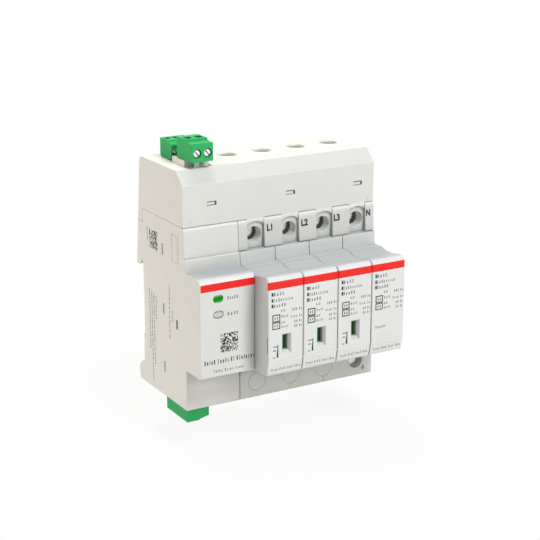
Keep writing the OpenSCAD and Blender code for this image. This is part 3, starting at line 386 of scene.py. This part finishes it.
# Green plugs, with painted shade on what lies below the device

PLUG_SPECULAR = 0.08
LOW_PLUG_TOP, LOW_PLUG_SHADE_SHARE, LOW_PLUG_SHADE_TONE = BOTTOM + 6, 0.28, linear(38, 134, 76)
plug = moulded("plug_moulding", linear(60, 185, 106), 0.5, 0.5, 0.006, 0.2)
plug.shader.inputs["Specular IOR Level"].default_value = PLUG_SPECULAR
low_plug_shade = (plug.axis("Z") < LOW_PLUG_TOP) * LOW_PLUG_SHADE_SHARE
plug.set(Base_Color=plug.mix(low_plug_shade, plug.skin(), LOW_PLUG_SHADE_TONE))

# Status flags: green in the window at rest, red above it

FLAG_BORDER = -11.45
flag = Finish("flag_film")
flag_grain = flag.noise(0.3, 3.0)
flag_green = flag.mix(flag_grain, linear(0, 74, 8), linear(0, 92, 14))
flag.set(Base_Color=flag.mix(flag.axis("Z") > FLAG_BORDER, linear(190, 30, 24), flag_green),
         Roughness=0.35 + 0.1 * flag_grain)
flag.bumped(flag_grain, 0.004, 0.4)

# Metal parts

SCREW_PAINTED_LIGHT = 0.22
copper = metal("tinned_copper", linear(214, 176, 142), 0.30)
screw_metal = metal("zinc_plated_screw", linear(250, 252, 254), 0.26, TURNED)
cage_metal = metal("zinc_plated_cage", linear(200, 202, 202), 0.30)
terminal_metal = metal("terminal_screw_steel", linear(250, 253, 255), 0.36, TURNED, 0.2, 0.3)
# Painted light: the terminal screws glow a little, so that their heads look lit deep in the barrels
terminal_metal.set(Emission_Color=terminal_metal.skin(), Emission_Strength=SCREW_PAINTED_LIGHT)

# Parts inside

board = Finish("coated_board")
tracks = board.add("ShaderNodeTexBrick", {"offset": 0.5}, Vector=board.stretched((0.0, 1.0, 1.0)),
                   Scale=160.0, Mortar_Size=0.03, output=1)
board.set(Base_Color=board.mix(tracks, linear(22, 92, 52), linear(40, 120, 74)),
          Roughness=0.35 + 0.15 * board.noise(2.0))
board.bumped(tracks, 0.02, 0.4)

CAP_START = 12.0
components = moulded("component_moulding", linear(40, 41, 44), 0.4)
varistor = moulded("varistor_epoxy", linear(46, 84, 140), 0.3, 1.2, 0.05, 0.4)
ceramic = moulded("arrester_ceramic", linear(232, 230, 224), 0.22, 0.9, 0.01, 0.3)
ceramic.set(Metallic=abs(ceramic.axis("Z")) > CAP_START)

# Lamps and ink

RIM_GREY, LENS_SPECULAR = linear(112, 118, 116), 0.03
LENS_BORDER = LENS_R + 0.02


def lamp(name, z, dark, light):
    """Tinted light guide whose oval lens stands in a grey rim."""
    f = Finish(name)
    milk = f.noise(0.8, 2.0)
    past_end = f.add("ShaderNodeMath", {"operation": "MAXIMUM"}, abs(f.axis("X") - LAMP_X) - LENS_HALF, 0.0)
    up = f.axis("Z") - z
    spread = past_end * past_end + up * up
    rim = f.mix(spread > RIM_R ** 2, RIM_GREY, HOUSING)
    f.set(Base_Color=f.mix(spread > LENS_BORDER ** 2, f.mix(milk, dark, light), rim),
          Roughness=0.45 + 0.1 * milk)
    f.shader.inputs["Specular IOR Level"].default_value = LENS_SPECULAR
    return f.bumped(milk, 0.01, 0.3)


lamp_green = lamp("lamp_green", POWER_LAMP_Z, linear(0, 152, 0), linear(0, 170, 0))
lamp_clear = lamp("lamp_clear", SIGNAL_LAMP_Z, linear(198, 203, 207), linear(210, 215, 219))


def ink(name, color):
    """Pad print, also painted shade and highlight: a little uneven at the edge of each mark."""
    f = Finish(name)
    spread = f.noise(0.25, 3.0, 0.6)
    f.set(Base_Color=f.mix((spread - 0.45) * 1.2, color, shaded(color, 2.2)), Roughness=0.5 + 0.15 * spread)
    return f.bumped(spread, 0.004, 0.5)


black_ink = ink("print_black", linear(28, 29, 32))
grey_ink_and_shade = ink("print_grey_and_painted_shade", linear(112, 113, 114))
slot_glint_paint = ink("painted_slot_glint", linear(168, 166, 158))

NODE_FINISHES = {
    "base_housing": housing, "top_hood": housing, "monitor_cover": housing, "monitor_housing": module,
    "line_bars": copper, "earth_bar": copper, "circuit_board": board, "board_parts": components,
    "power_lamp": lamp_green, "signal_lamp": lamp_clear, "spark_gap_n": ceramic,
}
PREFIX_FINISHES = (
    ("cartridge_", cartridge), ("contact_blades", copper), ("thermal_link", copper),
    ("varistor", varistor), ("status_flag", flag), ("clamp_cage", cage_metal), ("rail_clip", clip),
    ("terminal_screw", terminal_metal), ("supply_screw", screw_metal), ("relay_screw", screw_metal),
    ("sensor_screw", screw_metal), ("supply_plug", plug), ("relay_plug", plug), ("sensor_plug", plug),
    ("supply_header", header), ("relay_header", header), ("sensor_header", header),
)
for name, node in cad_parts.items():
    finish = NODE_FINISHES.get(name) or next(f for start, f in PREFIX_FINISHES if name.startswith(start))
    node.data.materials.clear()
    node.data.materials.append(finish.material)


# Mesh helpers

def made_object(name, mesh, finish):
    """An object from a bmesh, which it frees."""
    data = bpy.data.meshes.new(name)
    mesh.to_mesh(data)
    mesh.free()
    data.materials.append(finish.material)
    made = bpy.data.objects.new(name, data)
    scene.collection.objects.link(made)
    return made


def piece(name, mesh, body, finish):
    """Turns a bmesh in millimetres into a piece of the device."""
    bmesh.ops.transform(mesh, matrix=Matrix.Scale(MM, 4), verts=mesh.verts)
    made = made_object(name, mesh, finish)
    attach(made, body)
    return made


def block(mesh, x, y, z):
    """Adds a box from three ranges."""
    size = Matrix.Diagonal((x[1] - x[0], y[1] - y[0], z[1] - z[0], 1))
    middle = Matrix.Translation((sum(x) / 2, sum(y) / 2, sum(z) / 2))
    bmesh.ops.create_cube(mesh, size=1, matrix=middle @ size)


def rounded(mesh, edges, offset, segments):
    """Rounds edges with a bevel."""
    bmesh.ops.bevel(mesh, geom=edges, offset=offset, offset_type="OFFSET", segments=segments, profile=0.5,
                    affect="EDGES", material=-1)


# Print stands a hair off its face and reaches a little into it

INK, SIDE_INK, SUNK = 0.03, 0.008, 0.05
SMALL_LETTER, NARROW_MARK, WIDE_MARK = 0.72, 0.45, 0.70
LETTER_SPACE, WORD_SPACE, HOLLOW_LINE = 0.30, 0.55, 0.28
STATE_FACTOR, STATE_STEP, STATES = 29, 17, 97
SCATTER_U, SCATTER_V, SCATTER_GAIN = 12.9898, 78.233, 43758.5


class Print:
    """Flat marks on a face that looks to -Y or -X, all in one mesh."""

    def __init__(self, side, at):
        self.mesh, self.side, self.at = bmesh.new(), side, at

    def mark(self, u, v):
        """A filled mark over the ranges u (along the face) and v (up)."""
        skin = (self.at - (INK if self.side == "front" else SIDE_INK), self.at + SUNK)
        if self.side == "front":
            block(self.mesh, u, skin, v)
        else:
            block(self.mesh, skin, u, v)

    def outline(self, u, v, line):
        """A hollow mark: four lines."""
        self.mark(u, (v[0], v[0] + line))
        self.mark(u, (v[1] - line, v[1]))
        self.mark((u[0], u[0] + line), (v[0] + line, v[1] - line))
        self.mark((u[1] - line, u[1]), (v[0] + line, v[1] - line))

    def words(self, u, v, height, letters, width, upright=False, weight=0.6):
        """A line of print that spells nothing: marks in groups as long as words.

        A fixed sequence of states picks the marks that are tall, narrow or hollow.
        """
        marks, along, state = [], 0.0, sum(letters) * 7 + len(letters)
        for count in letters:
            for i in range(count):
                state = (state * STATE_FACTOR + STATE_STEP) % STATES
                tall = height if i == 0 or state % 5 == 0 else height * SMALL_LETTER
                wide = NARROW_MARK if state % 4 == 0 else WIDE_MARK
                marks.append((along, along + wide * weight, tall, state % 3 == 0))
                along += wide + LETTER_SPACE
            along += WORD_SPACE
        pace = width / marks[-1][1]
        for left, right, tall, is_open in marks:
            across, up = (u + left * pace, u + right * pace), (v, v + tall)
            if upright:
                self.mark(up, across)
            elif is_open:
                self.outline(across, up, (across[1] - across[0]) * HOLLOW_LINE)
            else:
                self.mark(across, up)

    def code(self, u, v, cells):
        """A square field of cells, dark by a fixed scatter that encodes nothing."""
        across, up = (u[1] - u[0]) / cells, (v[1] - v[0]) / cells
        for i in range(cells):
            for j in range(cells):
                if int(abs(sin(SCATTER_U * i + SCATTER_V * j)) * SCATTER_GAIN) % 2:
                    self.mark((u[0] + i * across, u[0] + (i + 1) * across),
                              (v[0] + j * up, v[0] + (j + 1) * up))

    def done(self, name, body, finish):
        """Makes the marks one piece."""
        bmesh.ops.recalc_face_normals(self.mesh, faces=self.mesh.faces)
        return piece(name, self.mesh, body, finish)


CAPITAL_SHARE = 0.72
LETTER_OFFSET = 0.16
SEPARATOR_LEAN = atan2(SEPARATOR_TOP - SEPARATOR_LOW, SEAM - BAND)


def lettering(name, words, height, x, z, narrow):
    """A terminal marking: bold letters as a thin mesh on the leaning front of a separator."""
    curve = bpy.data.curves.new(name, "FONT")
    curve.body = words
    curve.size = height / CAPITAL_SHARE
    curve.offset = LETTER_OFFSET
    curve.extrude = (INK + SUNK) / 2
    holder = bpy.data.objects.new(name + "_curve", curve)
    scene.collection.objects.link(holder)
    bpy.context.view_layer.update()
    data = bpy.data.meshes.new_from_object(holder)
    bpy.data.objects.remove(holder)
    mesh = bmesh.new()
    mesh.from_mesh(data)
    bpy.data.meshes.remove(data)
    bmesh.ops.remove_doubles(mesh, verts=mesh.verts, dist=1e-4)
    y = SEPARATOR_LOW + (z - BAND) / (SEAM - BAND) * (SEPARATOR_TOP - SEPARATOR_LOW)
    bmesh.ops.scale(mesh, verts=mesh.verts, vec=(narrow, 1, 1))
    bmesh.ops.translate(mesh, verts=mesh.verts, vec=(0, 0, (INK - SUNK) / 2))
    bmesh.ops.transform(mesh, verts=mesh.verts, matrix=Matrix.Translation((x, y, z))
                        @ Matrix.Rotation(pi / 2 - SEPARATOR_LEAN, 4, "X"))
    bmesh.ops.recalc_face_normals(mesh, faces=mesh.faces)
    return piece(name, mesh, "housing", black_ink)


# Print on the cartridges: rows of words, two framed fields, values and a level mark.
# Rows hold the height of their foot, the letters of each word, then a width, or a start and a width.

FOOT_TILT = atan2(1.0, 5.3)
WORD_ROWS = ((14.35, (4,), 5.0), (11.65, (9,), 9.4), (9.15, (5,), 5.8))
VALUE_ROWS = ((6.4, (3, 2), 4.6), (3.3, (4, 2), 5.4), (0.9, (2, 2), 3.6), (-1.2, (2, 2), 3.6))
UNIT_ROWS = ((6.8, (2,), -2.4, 1.9), (4.15, (4,), -2.2, 3.2), (1.4, (2,), -2.2, 1.7), (-0.6, (4,), -2.2, 3.2))
BULLET, BULLET_TALL = (-7.2, -6.35), 1.6
FIELD, FIELD_LEVELS, FIELD_LINE = (-6.8, -2.9), ((2.6, 5.9), (-0.8, 2.4)), 0.44
LEVEL_STEPS, LEVEL_TOP, LEVEL_PITCH = 6, -8.0, 0.95
LEVEL_TICKS = ((-8.9, 2.3), (-10.7, 1.4), (-13.9, 1.0))
VALUES_RIGHT = 7.9


def around(x, span):
    """A range that is stated from a place, such as the middle of a pole."""
    return (x + span[0], x + span[1])


def foot_line(k, body):
    """The small line on the leaning panel at a cartridge's foot."""
    sheet = Print("front", 0.0)
    sheet.words(-7.1, -4.5, 1.25, (5, 4, 4, 4), 14.5)
    lean = Matrix.Translation((POLE_X[k], CARTRIDGE_NOSE, FOOT_CREASE)) @ Matrix.Rotation(FOOT_TILT, 4, "X")
    bmesh.ops.transform(sheet.mesh, matrix=lean, verts=sheet.mesh.verts)
    sheet.done("print_foot_" + POLES[k], body, grey_ink_and_shade)


for k, pole in enumerate(POLES):
    x, body = POLE_X[k], "cartridge_" + pole
    bold = Print("front", CARTRIDGE_NOSE)
    for low, letters, width in WORD_ROWS:
        bold.mark(around(x, BULLET), (low, low + BULLET_TALL))
    for low, high in FIELD_LEVELS:
        bold.outline(around(x, FIELD), (low, high), FIELD_LINE)
        bold.words(x - 5.7, low + 1.1, 1.0, (2,), 1.7)
    if pole != "n":
        for step in range(LEVEL_STEPS):
            high = LEVEL_TOP - LEVEL_PITCH * step
            bold.mark((x - 4.15 - 0.1 * step, x - 3.85), (high - 1.0, high))
    bold.done("print_bold_" + pole, body, black_ink)
    values = Print("front", CARTRIDGE_NOSE)
    for low, letters, width in WORD_ROWS:
        values.words(x - 6.1, low, 1.5, letters, width)
    for low, letters, width in VALUE_ROWS:
        values.words(x + VALUES_RIGHT - width, low, 1.15, letters, width)
    for low, letters, start, width in UNIT_ROWS:
        values.words(x + start, low, 1.0, letters, width)
    if pole == "n":
        values.words(x - 6.8, -9.4, 1.1, (7,), 5.6)
    else:
        for tick, length in LEVEL_TICKS:
            values.mark((x - 6.4, x - 6.4 + length), (tick, tick + 0.45))
    values.done("print_values_" + pole, body, grey_ink_and_shade)
    foot_line(k, body)

# Print on the module's front: two names of lamps, a field of cells and two lines

front = Print("front", MODULE_NOSE)
front.words(LEFT + 13.4, 12.3, 1.5, (5,), 5.0)
front.words(LEFT + 13.4, 5.1, 1.5, (4,), 5.0)
front.words(LEFT + 6.4, -20.1, 1.4, (5, 5, 5), 14.7)
front.done("print_module_lines", "housing", grey_ink_and_shade)
front = Print("front", MODULE_NOSE)
front.code((LEFT + 9.8, LEFT + 18.4), (-11.4, -2.8), 21)
front.words(LEFT + 1.9, -16.1, 2.1, (5, 5, 2, 8), 24.5)
front.done("print_module_code", "housing", black_ink)

# Print on the module's side, with painted shade and a painted highlight along its slots. Columns hold their
# distance behind the face, their foot and the letters of each word.

SLOT_LOWS, SLOT_LENGTH = (BOTTOM + 11.4, BOTTOM + 39, SEAM - 16.8), 5.3
SIDE_COLUMNS = (
    (29.0, -6.9, (4, 2, 8)), (31.2, -29.4, (8, 5, 9, 4, 3, 8, 7)), (33.4, -37.4, (5, 7, 9, 6, 4, 8, 9, 7)),
    (35.6, -22.7, (7, 4, 4, 9, 5, 8)), (15.2, -12.2, (4, 3, 4, 6, 3, 5, 7)), (12.4, -3.2, (4, 3)),
    (36.4, 28.8, (3, 2, 3)),
)
SIDE_LETTER, SIDE_PACE = 1.15, 0.78

side = Print("side", LEFT)
side.code((FACE + 26.6, FACE + 35.0), (25.7, 34.5), 16)
side.mark((FACE + 7.8, FACE + 9.2), (-5.7, -1.3))
side.done("print_side_code", "housing", black_ink)
# Painted shade: grey marks along the slots and beside a frame line
side = Print("side", LEFT)
for low in SLOT_LOWS:
    side.mark((FACE + 21.6, FACE + 22.3), (low, low + SLOT_LENGTH))
side.mark((FACE + 11.9, FACE + 12.2), (SEAM - 17.3, SEAM - 4.9))
side.done("shade_side_slots", "housing", grey_ink_and_shade)
# Painted highlight: pale marks beside the slots, towards the front
side = Print("side", LEFT)
for low in SLOT_LOWS:
    side.mark((FACE + 20.9, FACE + 21.6), (low, low + SLOT_LENGTH))
side.done("glint_side_slots", "housing", slot_glint_paint)
side = Print("side", LEFT)
for column, low, letters in SIDE_COLUMNS:
    side.words(low, FACE + column, SIDE_LETTER, letters, sum(letters) * SIDE_PACE, upright=True)
side.done("print_side_lines", "housing", black_ink)

# Terminal markings: text, distance from the pole's middle, foot of the letters and share of their width

MARK_HEIGHT = 2.9
for k, (text, right, z, narrow) in enumerate((("L1", 5.5, 35.65, 0.86), ("L2", 5.5, 35.5, 0.88),
                                              ("L3", 4.9, 35.55, 0.88), ("N", 4.7, 35.6, 0.8))):
    lettering("marking_" + text.lower(), text, MARK_HEIGHT, POLE_X[k] + right, z, narrow)

# Earth mark below the N cartridge: a stem over three bars

EARTH_MARK_X, EARTH_MARK_Z = 44.2, -38.0
EARTH_STEM, EARTH_BAR, EARTH_BAR_PITCH = 0.17, 0.25, 0.55
earth = Print("front", FACE)
earth.mark((EARTH_MARK_X - EARTH_STEM, EARTH_MARK_X + EARTH_STEM), (EARTH_MARK_Z, EARTH_MARK_Z + 1.5))
for step, half in enumerate((1.0, 0.65, 0.3)):
    low = EARTH_MARK_Z - EARTH_BAR_PITCH * step
    earth.mark((EARTH_MARK_X - half, EARTH_MARK_X + half), (low - EARTH_BAR, low))
earth.done("marking_earth", "housing", black_ink)

# Steel wire collars in the plugs' openings

WALL_SHARE, POCKET_SHARE, RIM_ROUND = 0.17, 0.85, 0.2
SENSOR_WAYS, SENSOR_COLLAR_X, SENSOR_COLLAR_HALF, SENSOR_COLLAR_Z = 4, (1.45, 4.75), 1.6, (0.9, 3.5)


def collar(name, body, x, y, z, opens):
    """A square steel collar: a box whose outer end is pressed in to a pocket."""
    mesh = bmesh.new()
    block(mesh, x, y, z)
    end = max(mesh.faces, key=lambda face: opens * face.calc_center_median().z)
    bmesh.ops.inset_individual(mesh, faces=[end], thickness=WALL_SHARE * (x[1] - x[0]))
    pocket = bmesh.ops.extrude_discrete_faces(mesh, faces=[end])["faces"]
    depth = POCKET_SHARE * (z[1] - z[0])
    bmesh.ops.translate(mesh, verts=pocket[0].verts[:], vec=(0, 0, -opens * depth))
    rims = [edge for edge in mesh.edges if abs(edge.verts[0].co.z - edge.verts[1].co.z) > 0.5]
    rounded(mesh, rims, RIM_ROUND, 2)
    bmesh.ops.recalc_face_normals(mesh, faces=mesh.faces)
    piece(name, mesh, body, cage_metal)


def opening(name):
    """Lowest and highest corner of a node, in millimetres."""
    return [[value / MM for value in corner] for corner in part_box(name)]


# The upper plugs: ways, pitch and half width, then depths from the front corner and heights from the top

for name, count, pitch, half, y, z in (
        ("supply", 2, WIDE_PITCH, 1.6, (6.95, 11.05), (-4.2, -1.3)),
        ("relay", 3, NARROW_PITCH, 1.15, (6.35, 9.55), (-3.2, -1.2))):
    low, high = opening(name + "_plug")
    for i in range(count):
        x = (low[0] + high[0]) / 2 + (i - (count - 1) / 2) * pitch
        collar(f"{name}_collar_{i + 1}", name + "_plug", (x - half, x + half), around(low[1], y),
               around(high[2], z), 1)
low, high = opening("sensor_plug")
for i in range(SENSOR_WAYS):
    y = low[1] + (i + 0.5) * WIDE_PITCH
    collar(f"sensor_collar_{i + 1}", "sensor_plug", around(low[0], SENSOR_COLLAR_X),
           (y - SENSOR_COLLAR_HALF, y + SENSOR_COLLAR_HALF), around(low[2], SENSOR_COLLAR_Z), -1)

# Seals that fill the slit between the module and its neighbours: along the shoulder, the band and the nose

SLIT, SEAL_ROUND = (JOINT - 0.16, JOINT + 0.1), 0.15


def seal(name, y, z, shape=None):
    """A strip in the slit; shape changes its box."""
    mesh = bmesh.new()
    block(mesh, SLIT, y, z)
    if shape:
        shape(mesh)
    bmesh.ops.recalc_face_normals(mesh, faces=mesh.faces)
    piece(name, mesh, "housing", module)


def lean_like_separator(mesh):
    """Moves the lower front edge of a strip, so that it leans as the separators do."""
    lower_front = [vert for vert in mesh.verts if vert.co.y < SEPARATOR_TOP + 0.5 and vert.co.z < BAND + 1]
    bmesh.ops.translate(mesh, verts=lower_front, vec=(0, SEPARATOR_LOW - SEPARATOR_TOP, 0))


def round_right_front(mesh):
    """Rounds the front edge of a strip on the cartridges' side."""
    edges = [edge for edge in mesh.edges if all(
        vert.co.y < FACE - 1 and vert.co.x > JOINT for vert in edge.verts)]
    rounded(mesh, edges, SEAL_ROUND, 3)


seal("shoulder_seal", (SHOULDER + 0.15, FACE), (22.2, BAND - 0.2))
seal("band_seal", (SEPARATOR_TOP + 0.12, SEPARATOR_TOP + 1), (BAND + 0.15, SEAM - 1.2), lean_like_separator)
seal("module_seal", (MODULE_NOSE + 0.03, FACE), (-21.6, 21.2), round_right_front)

# Rounded lips of the wire holes in the hood

LIP_R, LIP_OUTER, LIP_ROUND, LIP_TALL, LIP_SUNK = 4.55, WIRE_R + 0.05, 0.45, 1.6, 0.02


def wire_lip(k):
    """A ring set into a wire hole, level with the hood, whose upper inner edge is rounded."""
    mesh = bmesh.new()
    top, low = TOP - LIP_SUNK, TOP - LIP_TALL
    corners = [mesh.verts.new(corner) for corner in (
        (LIP_OUTER, 0, top), (LIP_R, 0, top), (LIP_R, 0, low), (LIP_OUTER, 0, low))]
    edges = [mesh.edges.new(pair) for pair in zip(corners, corners[1:] + corners[:1])]
    bmesh.ops.spin(mesh, geom=corners + edges, cent=(0, 0, 0), axis=(0, 0, 1), angle=2 * pi, steps=64,
                   use_merge=True)
    mouth = [edge for edge in mesh.edges if all(
        abs(vert.co.xy.length - LIP_R) < 0.01 and vert.co.z > top - 0.01 for vert in edge.verts)]
    rounded(mesh, mouth, LIP_ROUND - LIP_SUNK, 4)
    bmesh.ops.recalc_face_normals(mesh, faces=mesh.faces)
    for face in mesh.faces:
        face.smooth = abs(face.normal.z) < 0.99
    bmesh.ops.translate(mesh, vec=(POLE_X[k], WIRE_Y, 0), verts=mesh.verts)
    piece(f"wire_lip_{POLES[k]}", mesh, "housing", housing)


for k in range(len(POLES)):
    wire_lip(k)

# Lamps: domed lenses inside their grey rims

LENS_TILT, LENS_FLATNESS, LENS_DEPTH = radians(5.6), 0.5, 0.55

for name, tone, z, finish in (("power_lamp", "lamp_green", POWER_LAMP_Z, lamp_green),
                              ("signal_lamp", "lamp_clear", SIGNAL_LAMP_Z, lamp_clear)):
    lens_mesh = bmesh.new()
    bmesh.ops.create_uvsphere(lens_mesh, u_segments=32, v_segments=16, radius=LENS_R,
                              matrix=Matrix.Rotation(LENS_TILT, 4, "Y"))
    bmesh.ops.scale(lens_mesh, vec=(1, LENS_FLATNESS, 1), verts=lens_mesh.verts)
    for vert in lens_mesh.verts:
        vert.co.x += LENS_HALF if vert.co.x > 0 else -LENS_HALF
    bmesh.ops.translate(lens_mesh, vec=(LAMP_X, MODULE_NOSE + LENS_DEPTH, z), verts=lens_mesh.verts)
    for face in lens_mesh.faces:
        face.smooth = True
    piece(name + "_lens", lens_mesh, "housing", finish)


# Stage, light and camera

WHITE = (1, 1, 1, 1)
FLOOR_SIZE, PLUG_TRAVEL = 6.0, 0.013
FADE_START, FADE_WIDTH, WHITE_SHARE = 0.07, 0.07, 0.9
PAPER_MM, PAPER_SPECULAR = 40, 0.1


def backdrop():
    """A pale sheet with a soft shadow that fades to white, so low that the lower plug can be pulled."""
    f = Finish("stage_paper")
    paper = f.noise(PAPER_MM, 3.0)
    f.set(Base_Color=f.mix(paper, linear(228, 228, 228), linear(233, 233, 233)), Roughness=0.95)
    f.shader.inputs["Specular IOR Level"].default_value = PAPER_SPECULAR
    reach = f.add("ShaderNodeVectorMath", {"operation": "LENGTH"}, f.place, output=1)
    away = WHITE_SHARE + (1 - WHITE_SHARE) * ((reach - FADE_START) / FADE_WIDTH).clamp()
    glow = f.add("ShaderNodeEmission", {}, WHITE, 1.0)
    sheet = f.add("ShaderNodeMixShader", {}, away * f.seen(), Value(f, f.shader.outputs[0]), glow)
    f.feed(f.tree.nodes["Material Output"].inputs[0], sheet)
    mesh = bmesh.new()
    bmesh.ops.create_grid(mesh, x_segments=1, y_segments=1, size=FLOOR_SIZE)
    floor = made_object("stage_floor", mesh, f)
    floor.location = (0, 0, cad_box[0][2] - PLUG_TRAVEL)


backdrop()

# Studio lights: turn to the right from the front and rise in degrees, size in metres, power, tint

LIGHT_REACH = 1.3
LIGHTS = (
    ("front", 18, 24, 0.45, 3.7, (1.0, 0.96, 0.88)),
    ("left_front", -28, 20, 0.45, 1.1, (1.0, 0.98, 0.92)),
    ("front_top", 8, 52, 0.45, 9.3, (0.88, 0.92, 1.0)),
    ("back_top", 175, 50, 0.6, 6.8, (1.0, 0.92, 0.79)),
    ("top", 175, 70, 0.6, 4.7, (1.0, 1.0, 1.0)),
    ("left_back", -135, 25, 0.6, 9.8, (1.0, 0.92, 0.83)),
)


def aimed(name, data, place, at):
    """Places a light or a camera that looks at a point."""
    holder = bpy.data.objects.new(name, data)
    holder.location = place
    holder.rotation_euler = (at - place).to_track_quat("-Z", "Y").to_euler()
    scene.collection.objects.link(holder)
    return holder


def area_light(name, turn, rise, size, power, tint):
    """A round soft light that looks at the device."""
    turn, rise = radians(turn), radians(rise)
    light = bpy.data.lights.new(name, "AREA")
    light.shape, light.size, light.energy, light.color = "DISK", size, power, tint
    place = LIGHT_REACH * Vector((sin(turn) * cos(rise), -cos(turn) * cos(rise), sin(rise)))
    aimed(name, light, place, Vector((0, 0, 0)))


for row in LIGHTS:
    area_light(*row)

# The world is white where it is seen, and gives no light

world = bpy.data.worlds.new("studio")
scene.world = world
world.use_nodes = True
sky = Graph(world.node_tree)
white = sky.add("ShaderNodeBackground", {}, WHITE, 1.0)
dark = sky.add("ShaderNodeBackground", {}, WHITE, 0.0)
surround = sky.add("ShaderNodeMixShader", {}, sky.seen(), dark, white)
sky.feed(sky.tree.nodes["World Output"].inputs[0], surround)

# The camera stands at the photo's viewing angle

CAMERA_PLACE, CAMERA_AIM = Vector((-0.3104, -0.5659, 0.2006)), Vector((-0.00655, -0.042, 0.01755))
CAMERA_LENS, CAMERA_SENSOR, CAMERA_RANGE = 94.67, 36.0, (0.01, 50.0)
camera = bpy.data.cameras.new("camera")
camera.lens, camera.sensor_width = CAMERA_LENS, CAMERA_SENSOR
camera.clip_start, camera.clip_end = CAMERA_RANGE
scene.camera = aimed("camera", camera, CAMERA_PLACE, CAMERA_AIM)
scene.view_settings.view_transform = "Standard"
